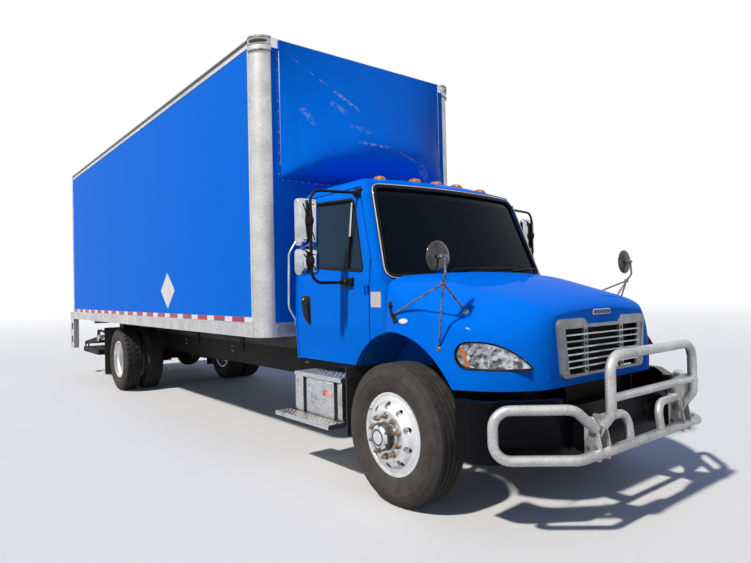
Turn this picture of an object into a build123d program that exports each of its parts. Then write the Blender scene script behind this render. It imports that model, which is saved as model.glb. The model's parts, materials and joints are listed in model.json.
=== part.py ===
from build123d import *
import math
import os

# Box truck with a conventional cab, a van body, a tube guard in front and a
# tuck-under lift gate behind. All sizes are millimetres.
# +X is the truck's left side, +Y runs to the rear, Z is up from the ground.
# Places along the truck are written from the front axle. At export they move
# so that the origin lies under the middle of the whole truck.

# Fits
SEAT = 0.3            # gap between pieces that seat on each other
PIN_FIT = 0.3         # radial gap of a pin or spindle in its bore
PANEL_GAP = 10        # gap round doors and hood

# Wheels and axles
WHEELBASE = 6960
REAR_OVERHANG = 2753  # from the rear axle to the end of the van body
TYRE_RADIUS = 507
TYRE_WIDTH = 285
TREAD_WIDTH = 226
RIM_SEAT_RADIUS = 286
RIM_FLANGE_RADIUS = 298
RIM_WIDTH = 210
RIM_THICKNESS = 10
DISC_OFFSET = 166.5   # outer face of the disc from the rim's middle
DISC_THICKNESS = 22
HAND_HOLES = 10
HAND_HOLE_RADIUS = 24
HAND_HOLE_CIRCLE = 212
FRONT_RIM_X = 1045    # rim middle from the truck's middle
REAR_OUTER_RIM_X = 1060
KINGPIN_X = 900
KINGPIN_RADIUS = 22
KINGPIN_HEIGHT = 190
SPINDLE_RADIUS = 38
HUB_RADIUS = 84
DISC_BORE = 110
PILOT_RADIUS = DISC_BORE - SEAT
DRUM_RADIUS = 205
DRUM_LENGTH = 150
STEER_ARM = 190       # from the kingpin back to the tie rod
TIE_ROD_RADIUS = 16

# Chassis
RAIL_OUT_X = 430
RAIL_BOTTOM = 630
RAIL_TOP = 900
RAIL_FLANGE = 75
RAIL_WALL = 8
RAIL_FRONT = -900
SHAFT_FRONT = 1250
SHAFT_Z = 690

# Bumper and guard
BUMPER_FRONT = -1100
BUMPER_END = -620
BUMPER_HALF = 1150
BUMPER_FACE_HALF = 760
BUMPER_SIDE_FRONT = -820
BUMPER_BOTTOM = 460
BUMPER_TOP = 840
BUMPER_WALL = 6
BUMPER_FLANGE = 60
BUMPER_NOTCH_HALF = 700
BUMPER_NOTCH_TOP = 780
GUARD_TUBE = 31.75
GUARD_FACE_Y = -1262
GUARD_LOW_Z = 515
GUARD_LOOP_Z = 810
GUARD_END_X = 1175
GUARD_END_Y = -920
HOOP_HALF = 550
HOOP_Y = -1330
HOOP_TOP = 1110
HOOP_BEND = 190
HOOP_BAR_Z = 855
GUARD_PIVOT_Y = -1235
GUARD_PIVOT_Z = 640
GUARD_PLATE_GAP = 45  # from the hoop's leg middle to each plate
GUARD_PLATE = 10
GUARD_BRACKET_Y = -1165  # the plates meet their dark brackets here
HOOP_WEB_REAR = -1160

# Hood and front end
HOOD_PIVOT_Y = -920
HOOD_PIVOT_Z = 845
HOOD_FRONT = -962
HOOD_REAR = 148
HOOD_BOTTOM = 875
HOOD_WALL = 30
HOOD_CREASE = 70      # rounding between crown, flank and fender
ARCH_Y = 50
ARCH_Z = 600
ARCH_RADIUS = 630
ARCH_LIP = 16         # raised edge round the arch
LINER_X = 600         # inner side of the wheel arch under the cab
LINER_WALL = 12
GRILLE_TOP = 1318
GRILLE_BOTTOM = 930
GRILLE_TOP_HALF = 560
GRILLE_BOTTOM_HALF = 518
GRILLE_SIDE = 90      # width of the frame beside the opening
GRILLE_HEADER = 66
GRILLE_SILL = 18
GRILLE_RIM = 20
GRILLE_COLUMN_X = 230
GRILLE_COLUMN = 48
GRILLE_NOTCH = 44
GRILLE_NOTCH_HALF = 215
GRILLE_DEPTH = 24
GRILLE_BARS = 6
GRILLE_BAR_HEIGHT = 11

# Cab
CAB_FRONT = 160
CAB_REAR = 1520
CAB_FLOOR = 930
CAB_WALL = 45
CAB_BELT = 1600
CAB_CORNER = 60       # radius of the cab's upright corners
SILL_X = 985          # outer edge of the cab floor inside the doors
DOOR_FRONT = 370
DOOR_REAR = 1440
DOOR_TOP = 2385
DOOR_DEPTH_X = 890    # the doors lie outside of this
HINGE_X = 1036
HINGE_Y = DOOR_FRONT + 40
HINGE_LEVELS = (1240, 1540)
HINGE_PIN = 6
HINGE_BARREL = 11
HINGE_HALF = 30

# Van body
BOX_FRONT = 1693
BOX_HALF = 1296
BOX_BOTTOM = 1116
BOX_TOP = 3971
BOX_WALL = 40
POST_RADIUS = 153
LOW_RAIL = 137
TOP_RAIL = 95
FLOOR_TOP = 1253
FLOOR_THICKNESS = 45
REAR_FRAME_DEPTH = 90
REAR_POST_WIDTH = 110
REAR_HEADER = 230
BOX_REAR = WHEELBASE + REAR_OVERHANG
BUFFER_DEPTH = 275    # dock step behind the van body
BUFFER_BOTTOM = 530
LAMP_DEPTH = 18
PLATE_MIDDLE_X = -700
PLATE_WIDTH = 305
PLATE_HEIGHT = 158
PLATE_HOLES = (178, 121)
PLATE_HOLE_RADIUS = 3.5

# Lift gate
GATE_X = 1120
GATE_PIVOT_Y = BOX_REAR - 1263
GATE_PIVOT_Z = 760
GATE_EYE_Y = BOX_REAR - 293
GATE_EYE_Z = 640
GATE_HALF = 1190
GATE_FRONT = BOX_REAR - 1493
GATE_THICKNESS = 90
GATE_BOTTOM = 485
CYLINDER_FRONT_Y = BOX_REAR - 1913
CYLINDER_Z = 900
LUG_Y = BOX_REAR - 1213
LUG_Z = 905
LUG_PIN = 9
EYE_DRIFT = 6         # the rod's eye floats on its pin as the gate drops
GATE_CYLINDER_X = 1080

RAIL_REAR = BOX_REAR - 513
CROSSMEMBERS = (RAIL_FRONT + 45, 1400, 2300, 4200, 5900, GATE_PIVOT_Y - 550, RAIL_REAR - 100)
TRUCK_FRONT = HOOP_Y - GUARD_TUBE
TRUCK_REAR = BOX_REAR + BUFFER_DEPTH + LAMP_DEPTH
MIDDLE = (TRUCK_FRONT + TRUCK_REAR) / 2


def block(x0, x1, y0, y1, z0, z1):
    """Box between two corners."""
    return Pos((x0 + x1) / 2, (y0 + y1) / 2, (z0 + z1) / 2) * Box(x1 - x0, y1 - y0, z1 - z0)


def rod(start, end, radius):
    """Round bar between two points."""
    a = Vector(*start)
    b = Vector(*end)
    place = Plane(origin=a, z_dir=b - a)
    return extrude(place * Circle(radius), (b - a).length)


def cross_rod(x0, x1, y, z, radius):
    """Round bar along X."""
    return rod((x0, y, z), (x1, y, z), radius)


def both(shape):
    """The shape and its mirror image on the other side of the truck."""
    return [shape, mirror(shape, about=Plane.YZ)]


def bent_tube(points, bend, radius):
    """Tube along straight runs joined by round bends."""
    corners = [Vector(*p) for p in points]
    edges = []
    last = corners[0]
    for before, corner, after in zip(corners, corners[1:], corners[2:]):
        into = (corner - before).normalized()
        out = (after - corner).normalized()
        half = math.acos(max(-1, min(1, into.dot(out)))) / 2
        cut = bend * math.tan(half)
        first = corner - into * cut
        second = corner + out * cut
        middle = corner + (out - into).normalized() * (bend / math.cos(half) - bend)
        edges.append(Line(last, first))
        edges.append(ThreePointArc(first, middle, second))
        last = second
    edges.append(Line(last, corners[-1]))
    path = Wire(edges)
    return sweep(Plane(origin=path @ 0, z_dir=path % 0) * Circle(radius), path=path)


def prism_x(points, x0, x1):
    """Outline in Y and Z, run along X."""
    face = make_face(Polyline(*points, close=True))
    return extrude(Plane(origin=(x0, 0, 0), x_dir=(0, 1, 0), z_dir=(1, 0, 0)) * face, x1 - x0)


def prism_y(face, y0, y1):
    """Face drawn in X and Z, run along Y."""
    return extrude(Plane(origin=(0, y1, 0), x_dir=(1, 0, 0), z_dir=(0, -1, 0)) * face, y1 - y0)


def spin(points):
    """Ring turned round X from (x, radius) points."""
    face = make_face(Polyline(*points, close=True))
    return revolve(Plane.XY * face, axis=Axis.X)


NODES = {}


def node(name, *solids):
    """Keep one named piece, as a single shape of separate solids."""
    flat = []
    for item in solids:
        flat.extend(item if isinstance(item, (list, tuple)) else [item])
    NODES[name] = flat


# Chassis


def make_rail():
    outer = block(RAIL_OUT_X - RAIL_FLANGE, RAIL_OUT_X, RAIL_FRONT, RAIL_REAR, RAIL_BOTTOM, RAIL_TOP)
    inner = block(
        RAIL_OUT_X - RAIL_FLANGE - 1, RAIL_OUT_X - RAIL_WALL, RAIL_FRONT - 1, RAIL_REAR + 1,
        RAIL_BOTTOM + RAIL_WALL, RAIL_TOP - RAIL_WALL)
    return outer - inner


def make_chassis():
    frame = both(make_rail())
    web = RAIL_OUT_X - RAIL_WALL
    for y in CROSSMEMBERS:
        bar = block(-web, web, y - 40, y + 40, RAIL_TOP - 150, RAIL_TOP - 45)
        frame.append(bar - block(-web + 40, web - 40, y - 32, y + 41, RAIL_TOP - 142, RAIL_TOP - 53))
    horn = block(
        RAIL_OUT_X - RAIL_FLANGE, RAIL_OUT_X, BUMPER_FRONT + BUMPER_WALL + SEAT, RAIL_FRONT,
        RAIL_BOTTOM, RAIL_BOTTOM + 110)
    horn += block(RAIL_OUT_X - 20, RAIL_OUT_X, HOOD_PIVOT_Y - 24, RAIL_FRONT, RAIL_BOTTOM, HOOD_PIVOT_Z)
    ear = cross_rod(RAIL_OUT_X - 20, RAIL_OUT_X, HOOD_PIVOT_Y, HOOD_PIVOT_Z, 24)
    horn += ear & block(0, RAIL_OUT_X, HOOD_PIVOT_Y - 24, RAIL_FRONT, RAIL_BOTTOM, RAIL_TOP)
    horn += cross_rod(RAIL_OUT_X - 20, RAIL_OUT_X + 60, HOOD_PIVOT_Y, HOOD_PIVOT_Z, 12)
    node("chassis_frame", frame, both(horn))


def make_leaf_pack(x, axle_y, seat_z, half_length, leaves):
    pack = None
    for number in range(leaves):
        length = half_length * (1 - 0.16 * number)
        leaf = block(x - 38, x + 38, axle_y - length, axle_y + length, seat_z + 14 * (leaves - 1 - number),
                     seat_z + 14 * (leaves - number))
        pack = leaf if pack is None else pack + leaf
    top = seat_z + 14 * leaves
    for end in (-1, 1):
        tip = axle_y + end * (half_length - 20)
        pack += block(x - 30, x + 30, tip - 20, tip + 20, top - 1, RAIL_BOTTOM - SEAT)
    return pack


def make_front_axle():
    beam_x = KINGPIN_X - 60
    beam_z = TYRE_RADIUS
    low = 430
    beam = None
    runs = (
        (-KINGPIN_X, beam_z, -beam_x + 40, beam_z),
        (-beam_x + 60, beam_z, -620, low),
        (-620, low, 620, low),
        (620, low, beam_x - 60, beam_z),
        (beam_x - 40, beam_z, KINGPIN_X, beam_z),
    )
    for x0, z0, x1, z1 in runs:
        outline = [(x0, z0 - 36), (x1, z1 - 36), (x1, z1 + 36), (x0, z0 + 36)]
        run = prism_y(make_face(Polyline(*outline, close=True)), -42, 42)
        beam = run if beam is None else beam + run
    for x in (-beam_x + 50, beam_x - 50):
        beam += block(x - 22, x + 22, -42, 42, beam_z - 36, beam_z + 36)
    for side in (-1, 1):
        eye = rod((side * KINGPIN_X, 0, beam_z - 45), (side * KINGPIN_X, 0, beam_z + 45), 48)
        beam += eye
    for side in (-1, 1):
        beam -= rod((side * KINGPIN_X, 0, beam_z - 60), (side * KINGPIN_X, 0, beam_z + 60), KINGPIN_RADIUS + PIN_FIT)
        beam += make_leaf_pack(side * 392, 0, low + 36, 640, 4)
        beam += block(side * 392 - 50, side * 392 + 50, -70, 70, low + 35, low + 110)
    node("front_axle", beam)


def make_rear_axle():
    y = WHEELBASE
    z = TYRE_RADIUS
    mount_x = REAR_OUTER_RIM_X - DISC_OFFSET
    axle = cross_rod(-mount_x + 80, mount_x - 80, y, z, 62)
    bowl = Pos(0, y, z) * Sphere(205)
    axle += bowl - block(-300, 300, y - 300, y - 150, z - 300, z + 300)
    axle += rod((0, y - 150 - 90, z), (0, y - 140, z), 95)
    for side in (-1, 1):
        axle += cross_rod(side * (mount_x - 81), side * (mount_x + 60), y, z, SPINDLE_RADIUS)
        axle += make_leaf_pack(side * 392, y, z + 62, 700, 4)
        axle += block(side * 392 - 55, side * 392 + 55, y - 80, y + 80, z - 80, z + 64)
    shaft_end = (0, SHAFT_FRONT, SHAFT_Z)
    axle += rod((0, y - 240, z), shaft_end, 45)
    axle += Pos(*shaft_end) * Sphere(62)
    node("rear_axle", axle)


def make_engine():
    engine = block(-300, 300, -620, 90, 590, 1330)
    engine += block(-230, 230, -500, 60, 1329, 1400)
    gearbox = block(-210, 210, 95, 1100, 600, 900)
    gearbox += rod((0, 1099, SHAFT_Z), (0, SHAFT_FRONT - 62 - SEAT, SHAFT_Z), 70)
    radiator = block(-350, 350, -805, -725, 700, 1300)
    link = block(-90, 90, -726, -619, 880, 960)
    engine += gearbox + block(-200, 200, 89, 96, 620, 880) + radiator + link
    for side in (-1, 1):
        near = side * 299
        far = side * (RAIL_OUT_X - RAIL_WALL - SEAT)
        engine += block(min(near, far), max(near, far), -330, -250, 700, 760)
    node("engine_and_radiator", engine)


def make_exhaust():
    muffler = rod((RAIL_OUT_X + 190, 1750, 720), (RAIL_OUT_X + 190, 2750, 720), 115)
    pipe = bent_tube([(RAIL_OUT_X + 190, 2740, 720), (RAIL_OUT_X + 190, 3100, 720), (1180, 3100, 640)], 120, 45)
    strap = block(RAIL_OUT_X + SEAT, RAIL_OUT_X + 120, 1900, 1940, 690, 760)
    strap_rear = block(RAIL_OUT_X + SEAT, RAIL_OUT_X + 120, 2560, 2600, 690, 760)
    node("exhaust", muffler + pipe + strap + strap_rear)


# Wheels


def make_rim():
    """Rim and disc about X, outboard along +X, its middle at x = 0."""
    half = RIM_WIDTH / 2
    seat = RIM_SEAT_RADIUS
    flange = RIM_FLANGE_RADIUS
    wall = RIM_THICKNESS
    well = seat - 26
    outer = [
        (-half - 7, flange), (-half, flange), (-half, seat), (-half + 34, seat), (-half + 62, well),
        (half - 62, well), (half - 34, seat), (half, seat), (half, flange), (half + 7, flange),
        (half + 7, seat - wall), (half - 38, seat - wall), (half - 64, well - wall),
        (-half + 64, well - wall), (-half + 38, seat - wall), (-half - 7, seat - wall),
    ]
    rim = spin(outer)
    face = DISC_OFFSET
    back = face - DISC_THICKNESS
    disc = [
        (back, DISC_BORE), (face, DISC_BORE), (face, 178), (face - 18, 215), (half - 34, seat - wall + 1),
        (half - 58, seat - wall - 6), (face - 58, 205), (back, 172),
    ]
    web = spin(disc)
    for number in range(HAND_HOLES):
        turn = Rot(X=360 / HAND_HOLES * number)
        web -= turn * rod((0, 0, HAND_HOLE_CIRCLE), (face + 40, 0, HAND_HOLE_CIRCLE), HAND_HOLE_RADIUS)
    return rim + web


def make_tyre():
    half = TYRE_WIDTH / 2
    tread = TREAD_WIDTH / 2
    low = RIM_SEAT_RADIUS + SEAT
    bead = RIM_WIDTH / 2 - SEAT
    outline = [
        (-bead, low), (-bead, RIM_FLANGE_RADIUS + SEAT), (-bead - 16, RIM_FLANGE_RADIUS + 18),
        (-half, 398), (-half + 10, 450), (-tread - 4, TYRE_RADIUS - 24), (-tread + 12, TYRE_RADIUS - 4),
        (-tread / 2, TYRE_RADIUS), (tread / 2, TYRE_RADIUS), (tread - 12, TYRE_RADIUS - 4),
        (tread + 4, TYRE_RADIUS - 24), (half - 10, 450), (half, 398),
        (bead + 16, RIM_FLANGE_RADIUS + 18), (bead, RIM_FLANGE_RADIUS + SEAT), (bead, low),
        (bead - 26, low), (bead - 10, 330), (half - 22, 400), (tread - 20, TYRE_RADIUS - 34),
        (-tread + 20, TYRE_RADIUS - 34), (-half + 22, 400), (-bead + 10, 330), (-bead + 26, low),
    ]
    return spin(outline)


def make_front_hub():
    """Hub and drum of a front wheel about X, rim middle at x = 0."""
    face = DISC_OFFSET
    bore = SPINDLE_RADIUS + PIN_FIT
    drum = spin([
        (face - DISC_THICKNESS - SEAT, 95), (face - DISC_THICKNESS - SEAT, 168),
        (face - DISC_THICKNESS - 22, 168), (face - DISC_THICKNESS - 22, DRUM_RADIUS),
        (face - DISC_THICKNESS - 22 - DRUM_LENGTH, DRUM_RADIUS),
        (face - DISC_THICKNESS - 22 - DRUM_LENGTH, DRUM_RADIUS - 16),
        (face - DISC_THICKNESS - 40, DRUM_RADIUS - 16), (face - DISC_THICKNESS - 40, 95),
    ])
    hub = spin([
        (-60, bore), (-60, 96), (face - 40, 96), (face - 40, PILOT_RADIUS), (face + 8, PILOT_RADIUS),
        (face + 8, 96), (face + 60, HUB_RADIUS), (face + 60, bore),
    ])
    cap = spin([(face + 59, 0), (face + 59, HUB_RADIUS - 12), (face + 78, HUB_RADIUS - 20), (face + 78, 0)])
    return drum + hub + cap


def make_wheels():
    half = RIM_WIDTH / 2
    rim = [make_rim(), make_front_hub()]
    tyre = make_tyre()
    left = [Pos(FRONT_RIM_X, 0, TYRE_RADIUS) * piece for piece in rim]
    node("front_wheel_right", [mirror(piece, about=Plane.YZ) for piece in left])
    node("front_wheel_left", left)
    node("front_tyre_right", Pos(-FRONT_RIM_X, 0, TYRE_RADIUS) * tyre)
    node("front_tyre_left", Pos(FRONT_RIM_X, 0, TYRE_RADIUS) * tyre)
    mount = REAR_OUTER_RIM_X - DISC_OFFSET
    inner_x = mount - DISC_OFFSET - SEAT
    outer_rim = Pos(REAR_OUTER_RIM_X, 0, 0) * mirror(make_rim(), about=Plane.YZ)
    inner_rim = Pos(inner_x, 0, 0) * make_rim()
    bore = SPINDLE_RADIUS + PIN_FIT
    hub = spin([
        (mount - 70, bore), (mount - 70, PILOT_RADIUS), (mount + 62, PILOT_RADIUS), (mount + 62, 100),
        (mount + 90, 96), (mount + 90, 0), (mount + 66, 0), (mount + 66, bore),
    ])
    drum = spin([
        (mount - DISC_THICKNESS - SEAT * 2, 107), (mount - DISC_THICKNESS - SEAT * 2, 165),
        (mount - DISC_THICKNESS - 24, 165), (mount - DISC_THICKNESS - 24, DRUM_RADIUS),
        (mount - DISC_THICKNESS - 190, DRUM_RADIUS), (mount - DISC_THICKNESS - 190, DRUM_RADIUS - 16),
        (mount - DISC_THICKNESS - 44, DRUM_RADIUS - 16), (mount - DISC_THICKNESS - 44, 107),
    ])
    pair = outer_rim + hub + drum
    axle = Pos(0, WHEELBASE, TYRE_RADIUS)
    rims = [axle * pair, axle * inner_rim]
    tyres = [axle * (Pos(REAR_OUTER_RIM_X, 0, 0) * tyre), axle * (Pos(inner_x, 0, 0) * tyre)]
    node("rear_wheels_left", rims)
    node("rear_tyres_left", tyres)
    node("rear_wheels_right", [mirror(s, about=Plane.YZ) for s in rims])
    node("rear_tyres_right", [mirror(s, about=Plane.YZ) for s in tyres])


def make_knuckle(side):
    x = side * KINGPIN_X
    z = TYRE_RADIUS
    half = KINGPIN_HEIGHT / 2
    knuckle = rod((x, 0, z - half), (x, 0, z + half), KINGPIN_RADIUS)
    for level in (-1, 1):
        knuckle += rod((x, 0, z + level * 52), (x, 0, z + level * half), 42)
    out0 = x + side * 55
    plate = block(min(out0, out0 + side * 26), max(out0, out0 + side * 26), -75, 75, z - half, z + half)
    knuckle += plate
    for level in (-1, 1):
        knuckle += block(min(x, out0 + side), max(x, out0 + side), -38, 38,
                         min(z + level * 52, z + level * half), max(z + level * 52, z + level * half))
    tip = side * (FRONT_RIM_X + DISC_OFFSET + 40)
    knuckle += cross_rod(out0, tip, 0, z, SPINDLE_RADIUS)
    arm_z = z - half + 14
    knuckle += block(x - 16, x + 16, -20, STEER_ARM + 25, arm_z - 12, arm_z + 12)
    ball = rod((x, STEER_ARM, arm_z - 60), (x, STEER_ARM, arm_z + 12), 12)
    knuckle += ball
    return knuckle


def make_steering():
    node("steering_knuckle_right", make_knuckle(-1))
    node("steering_knuckle_left", make_knuckle(1))
    half = KINGPIN_HEIGHT / 2
    z = TYRE_RADIUS - half + 14 - 40
    end = KINGPIN_X
    bar = cross_rod(-end + 26, end - 26, STEER_ARM, z, TIE_ROD_RADIUS)
    for side in (-1, 1):
        eye = rod((side * end, STEER_ARM, z - 18), (side * end, STEER_ARM, z + 18), 30)
        bar += eye
    for side in (-1, 1):
        bar -= rod((side * end, STEER_ARM, z - 30), (side * end, STEER_ARM, z + 30), 12 + PIN_FIT)
    node("tie_rod", bar)


# Front end


def bumper_outline(inset):
    points = [
        (-BUMPER_HALF + inset, BUMPER_END + inset),
        (-BUMPER_HALF + inset, BUMPER_SIDE_FRONT + 0.4 * inset),
        (-BUMPER_FACE_HALF + 0.3 * inset, BUMPER_FRONT + inset),
        (BUMPER_FACE_HALF - 0.3 * inset, BUMPER_FRONT + inset),
        (BUMPER_HALF - inset, BUMPER_SIDE_FRONT + 0.4 * inset),
        (BUMPER_HALF - inset, BUMPER_END + inset),
    ]
    face = make_face(Polyline(*points, close=True))
    front = face.vertices().filter_by(lambda v: v.Y < BUMPER_END - 50)
    return fillet(front, 150)


def make_bumper():
    bumper = Pos(0, 0, BUMPER_BOTTOM) * extrude(bumper_outline(0), BUMPER_TOP - BUMPER_BOTTOM)
    inside = Pos(0, 0, BUMPER_BOTTOM + BUMPER_WALL) * extrude(
        bumper_outline(BUMPER_WALL), BUMPER_TOP - BUMPER_BOTTOM - 2 * BUMPER_WALL)
    hollow = Pos(0, 0, BUMPER_BOTTOM - 1) * extrude(bumper_outline(BUMPER_FLANGE), BUMPER_TOP - BUMPER_BOTTOM + 2)
    notch = block(-BUMPER_NOTCH_HALF, BUMPER_NOTCH_HALF, BUMPER_FRONT - 1, BUMPER_END, BUMPER_NOTCH_TOP, BUMPER_TOP + 1)
    node("bumper", bumper - inside - hollow - notch)


def make_guard():
    low = GUARD_LOW_Z
    side = [
        (-HOOP_HALF - GUARD_PLATE_GAP - 4, -1250, 668),
        (-800, -1240, GUARD_LOOP_Z),
        (-GUARD_END_X, GUARD_END_Y, GUARD_LOOP_Z),
        (-GUARD_END_X, GUARD_END_Y, low),
        (-780, GUARD_FACE_Y, low),
    ]
    other = [(-x, y, z) for x, y, z in reversed(side)]
    frame = bent_tube(side + other, 105, GUARD_TUBE)
    plates = []
    for sign in (-1, 1):
        for offset in (-1, 1):
            x = sign * HOOP_HALF + offset * (GUARD_PLATE_GAP + GUARD_PLATE / 2)
            outline = [
                (BUMPER_FRONT - SEAT, low + 25), (GUARD_BRACKET_Y, low - 10), (GUARD_FACE_Y - 20, low - 40),
                (GUARD_FACE_Y - 30, low + 40), (GUARD_PIVOT_Y - 35, GUARD_PIVOT_Z + 40),
                (GUARD_PIVOT_Y - 15, 760), (GUARD_BRACKET_Y, 775), (BUMPER_FRONT - SEAT, 690),
            ]
            plates.append(prism_x(outline, x - GUARD_PLATE / 2, x + GUARD_PLATE / 2))
    for plate in plates:
        frame += plate
    for sign in (-1, 1):
        inner = HOOP_HALF - GUARD_PLATE_GAP
        frame += bent_tube(
            [(sign * inner, -1225, 745), (sign * (inner - 105), -1235, 745),
             (sign * (inner - 105), GUARD_FACE_Y, low)], 60, 24)
        x0 = sign * HOOP_HALF
        frame += cross_rod(x0 - GUARD_PLATE_GAP - 20, x0 + GUARD_PLATE_GAP + 20, GUARD_PIVOT_Y, GUARD_PIVOT_Z, 12)
    node("guard_frame", frame)

    legs = [
        (-HOOP_HALF, GUARD_PIVOT_Y - 42, GUARD_PIVOT_Z + 50),
        (-HOOP_HALF, HOOP_Y, GUARD_PIVOT_Z + 120),
        (-HOOP_HALF, HOOP_Y, HOOP_TOP),
    ]
    path = legs + [(-x, y, z) for x, y, z in reversed(legs)]
    low_leg = bent_tube([path[0], path[1], (path[1][0], HOOP_Y, 900)], 60, GUARD_TUBE)
    top = bent_tube([(-HOOP_HALF, HOOP_Y, 890), path[2], path[3], (HOOP_HALF, HOOP_Y, 890)], HOOP_BEND, GUARD_TUBE)
    hoop = top
    for piece in both(low_leg):
        hoop += piece
    hoop += cross_rod(-HOOP_HALF, HOOP_HALF, HOOP_Y, HOOP_BAR_Z, 26)
    for sign in (-1, 1):
        x = sign * HOOP_HALF
        lug = prism_x(
            [(GUARD_PIVOT_Y + 26, GUARD_PIVOT_Z - 26), (GUARD_PIVOT_Y - 26, GUARD_PIVOT_Z - 26),
             (GUARD_PIVOT_Y - 66, GUARD_PIVOT_Z + 66), (GUARD_PIVOT_Y - 20, GUARD_PIVOT_Z + 76),
             (GUARD_PIVOT_Y + 26, GUARD_PIVOT_Z + 26)], x - 14, x + 14)
        web = prism_x(
            [(HOOP_Y, 905), (HOOP_Y + 70, 885), (HOOP_WEB_REAR, 850), (HOOP_WEB_REAR, 715),
             (GUARD_PIVOT_Y + 26, GUARD_PIVOT_Z + 26), (GUARD_PIVOT_Y - 30, GUARD_PIVOT_Z + 50), (HOOP_Y, 770)],
            x - 5, x + 5)
        for y, z in ((HOOP_Y + 95, 830), (HOOP_Y + 120, 770), (HOOP_Y + 90, 730)):
            web -= cross_rod(x - 10, x + 10, y, z, 12)
        hoop += lug + web
    for sign in (-1, 1):
        x = sign * HOOP_HALF
        hoop -= cross_rod(x - 60, x + 60, GUARD_PIVOT_Y, GUARD_PIVOT_Z, 12 + PIN_FIT)
    node("guard_hoop", hoop)


# Hood sections from front to rear:
# y, crown z, dome x, dome z, shoulder x, shoulder z, side x
HOOD_SECTIONS = (
    (HOOD_FRONT, 1380, 550, 1340, 600, 1152, 612),
    (HOOD_FRONT + 45, 1432, 605, 1388, 735, 1170, 752),
    (HOOD_FRONT + 190, 1500, 650, 1445, 900, 1215, 930),
    (-500, 1572, 695, 1515, 1022, 1300, 1068),
    (-190, 1636, 755, 1592, 1060, 1405, 1112),
    (HOOD_REAR, 1672, 800, 1648, 1030, 1585, 1078),
)


def hood_face(section, inset):
    y, crown, dome_x, dome_z, shoulder_x, shoulder_z, side_x = section
    bottom = HOOD_BOTTOM - (60 if inset > 0 else 0)
    top = (0, crown - inset)
    dome = (dome_x - 0.6 * inset, dome_z - inset)
    shoulder = (shoulder_x - inset, shoulder_z - 0.6 * inset)
    side = (side_x - inset, bottom)
    flank = ((dome[0] + shoulder[0]) / 2 + 14, (dome[1] + shoulder[1]) / 2 + 14)
    skirt = ((shoulder[0] + side[0]) / 2 + 16, (shoulder[1] + side[1]) / 2)
    edges = [
        ThreePointArc((-dome[0], dome[1]), top, dome),
        ThreePointArc(dome, flank, shoulder),
        ThreePointArc(shoulder, skirt, side),
        Line(side, (-side[0], bottom)),
        ThreePointArc((-side[0], bottom), (-skirt[0], skirt[1]), (-shoulder[0], shoulder[1])),
        ThreePointArc((-shoulder[0], shoulder[1]), (-flank[0], flank[1]), (-dome[0], dome[1])),
    ]
    face = make_face(edges)
    upper = face.vertices().filter_by(lambda v: v.Y > bottom + 1)
    face = fillet(upper, HOOD_CREASE)
    return Plane(origin=(0, y, 0), x_dir=(1, 0, 0), z_dir=(0, -1, 0)) * face


def hood_solid(inset):
    return loft([hood_face(section, inset) for section in HOOD_SECTIONS])


def grille_face(inset):
    points = [
        (-GRILLE_BOTTOM_HALF + inset, GRILLE_BOTTOM + inset), (GRILLE_BOTTOM_HALF - inset, GRILLE_BOTTOM + inset),
        (GRILLE_TOP_HALF - inset, GRILLE_TOP - inset), (-GRILLE_TOP_HALF + inset, GRILLE_TOP - inset),
    ]
    face = make_face(Polyline(*points, close=True))
    return fillet(face.vertices(), 44 - 0.5 * inset)


def grille_opening(grow):
    low = GRILLE_BOTTOM + GRILLE_SILL - grow
    high = GRILLE_TOP - GRILLE_HEADER + grow
    wide = GRILLE_TOP_HALF - GRILLE_SIDE + grow
    narrow = GRILLE_BOTTOM_HALF - GRILLE_SIDE + grow
    return make_face(Polyline((-narrow, low), (narrow, low), (wide, high), (-wide, high), close=True))


def grille_notch():
    """Dip in the grille's top edge under the hood's nose."""
    half = GRILLE_NOTCH_HALF
    points = [
        (-half, GRILLE_TOP - GRILLE_NOTCH), (half, GRILLE_TOP - GRILLE_NOTCH),
        (half + GRILLE_NOTCH, GRILLE_TOP + 1), (-half - GRILLE_NOTCH, GRILLE_TOP + 1),
    ]
    return make_face(Polyline(*points, close=True))


LAMP_MIDDLE = (-935, -745)
LAMP_ALONG = (0.585, -0.811)
LAMP_REACH = 220


def lamp_prism(gap):
    """Almond outline of the right headlamp, run through the hood's corner."""
    outline = make_face([
        ThreePointArc((-241 - gap, 1100), (-214 - gap, 1168 + gap), (-145, 1188 + gap)),
        ThreePointArc((-145, 1188 + gap), (68, 1160 + gap), (259 + gap, 1020)),
        Line((259 + gap, 1020), (250, 1005 - gap)),
        ThreePointArc((250, 1005 - gap), (50, 1001 - gap), (-140, 1008 - gap)),
        ThreePointArc((-140, 1008 - gap), (-220 - gap, 1047), (-241 - gap, 1100)),
    ])
    along = Vector(LAMP_ALONG[0], LAMP_ALONG[1], 0)
    out = Vector(LAMP_ALONG[1], -LAMP_ALONG[0], 0)
    start = Vector(LAMP_MIDDLE[0], LAMP_MIDDLE[1], 0) - out * LAMP_REACH
    return extrude(Plane(origin=start, x_dir=along, z_dir=out) * outline, 2 * LAMP_REACH)


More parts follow.
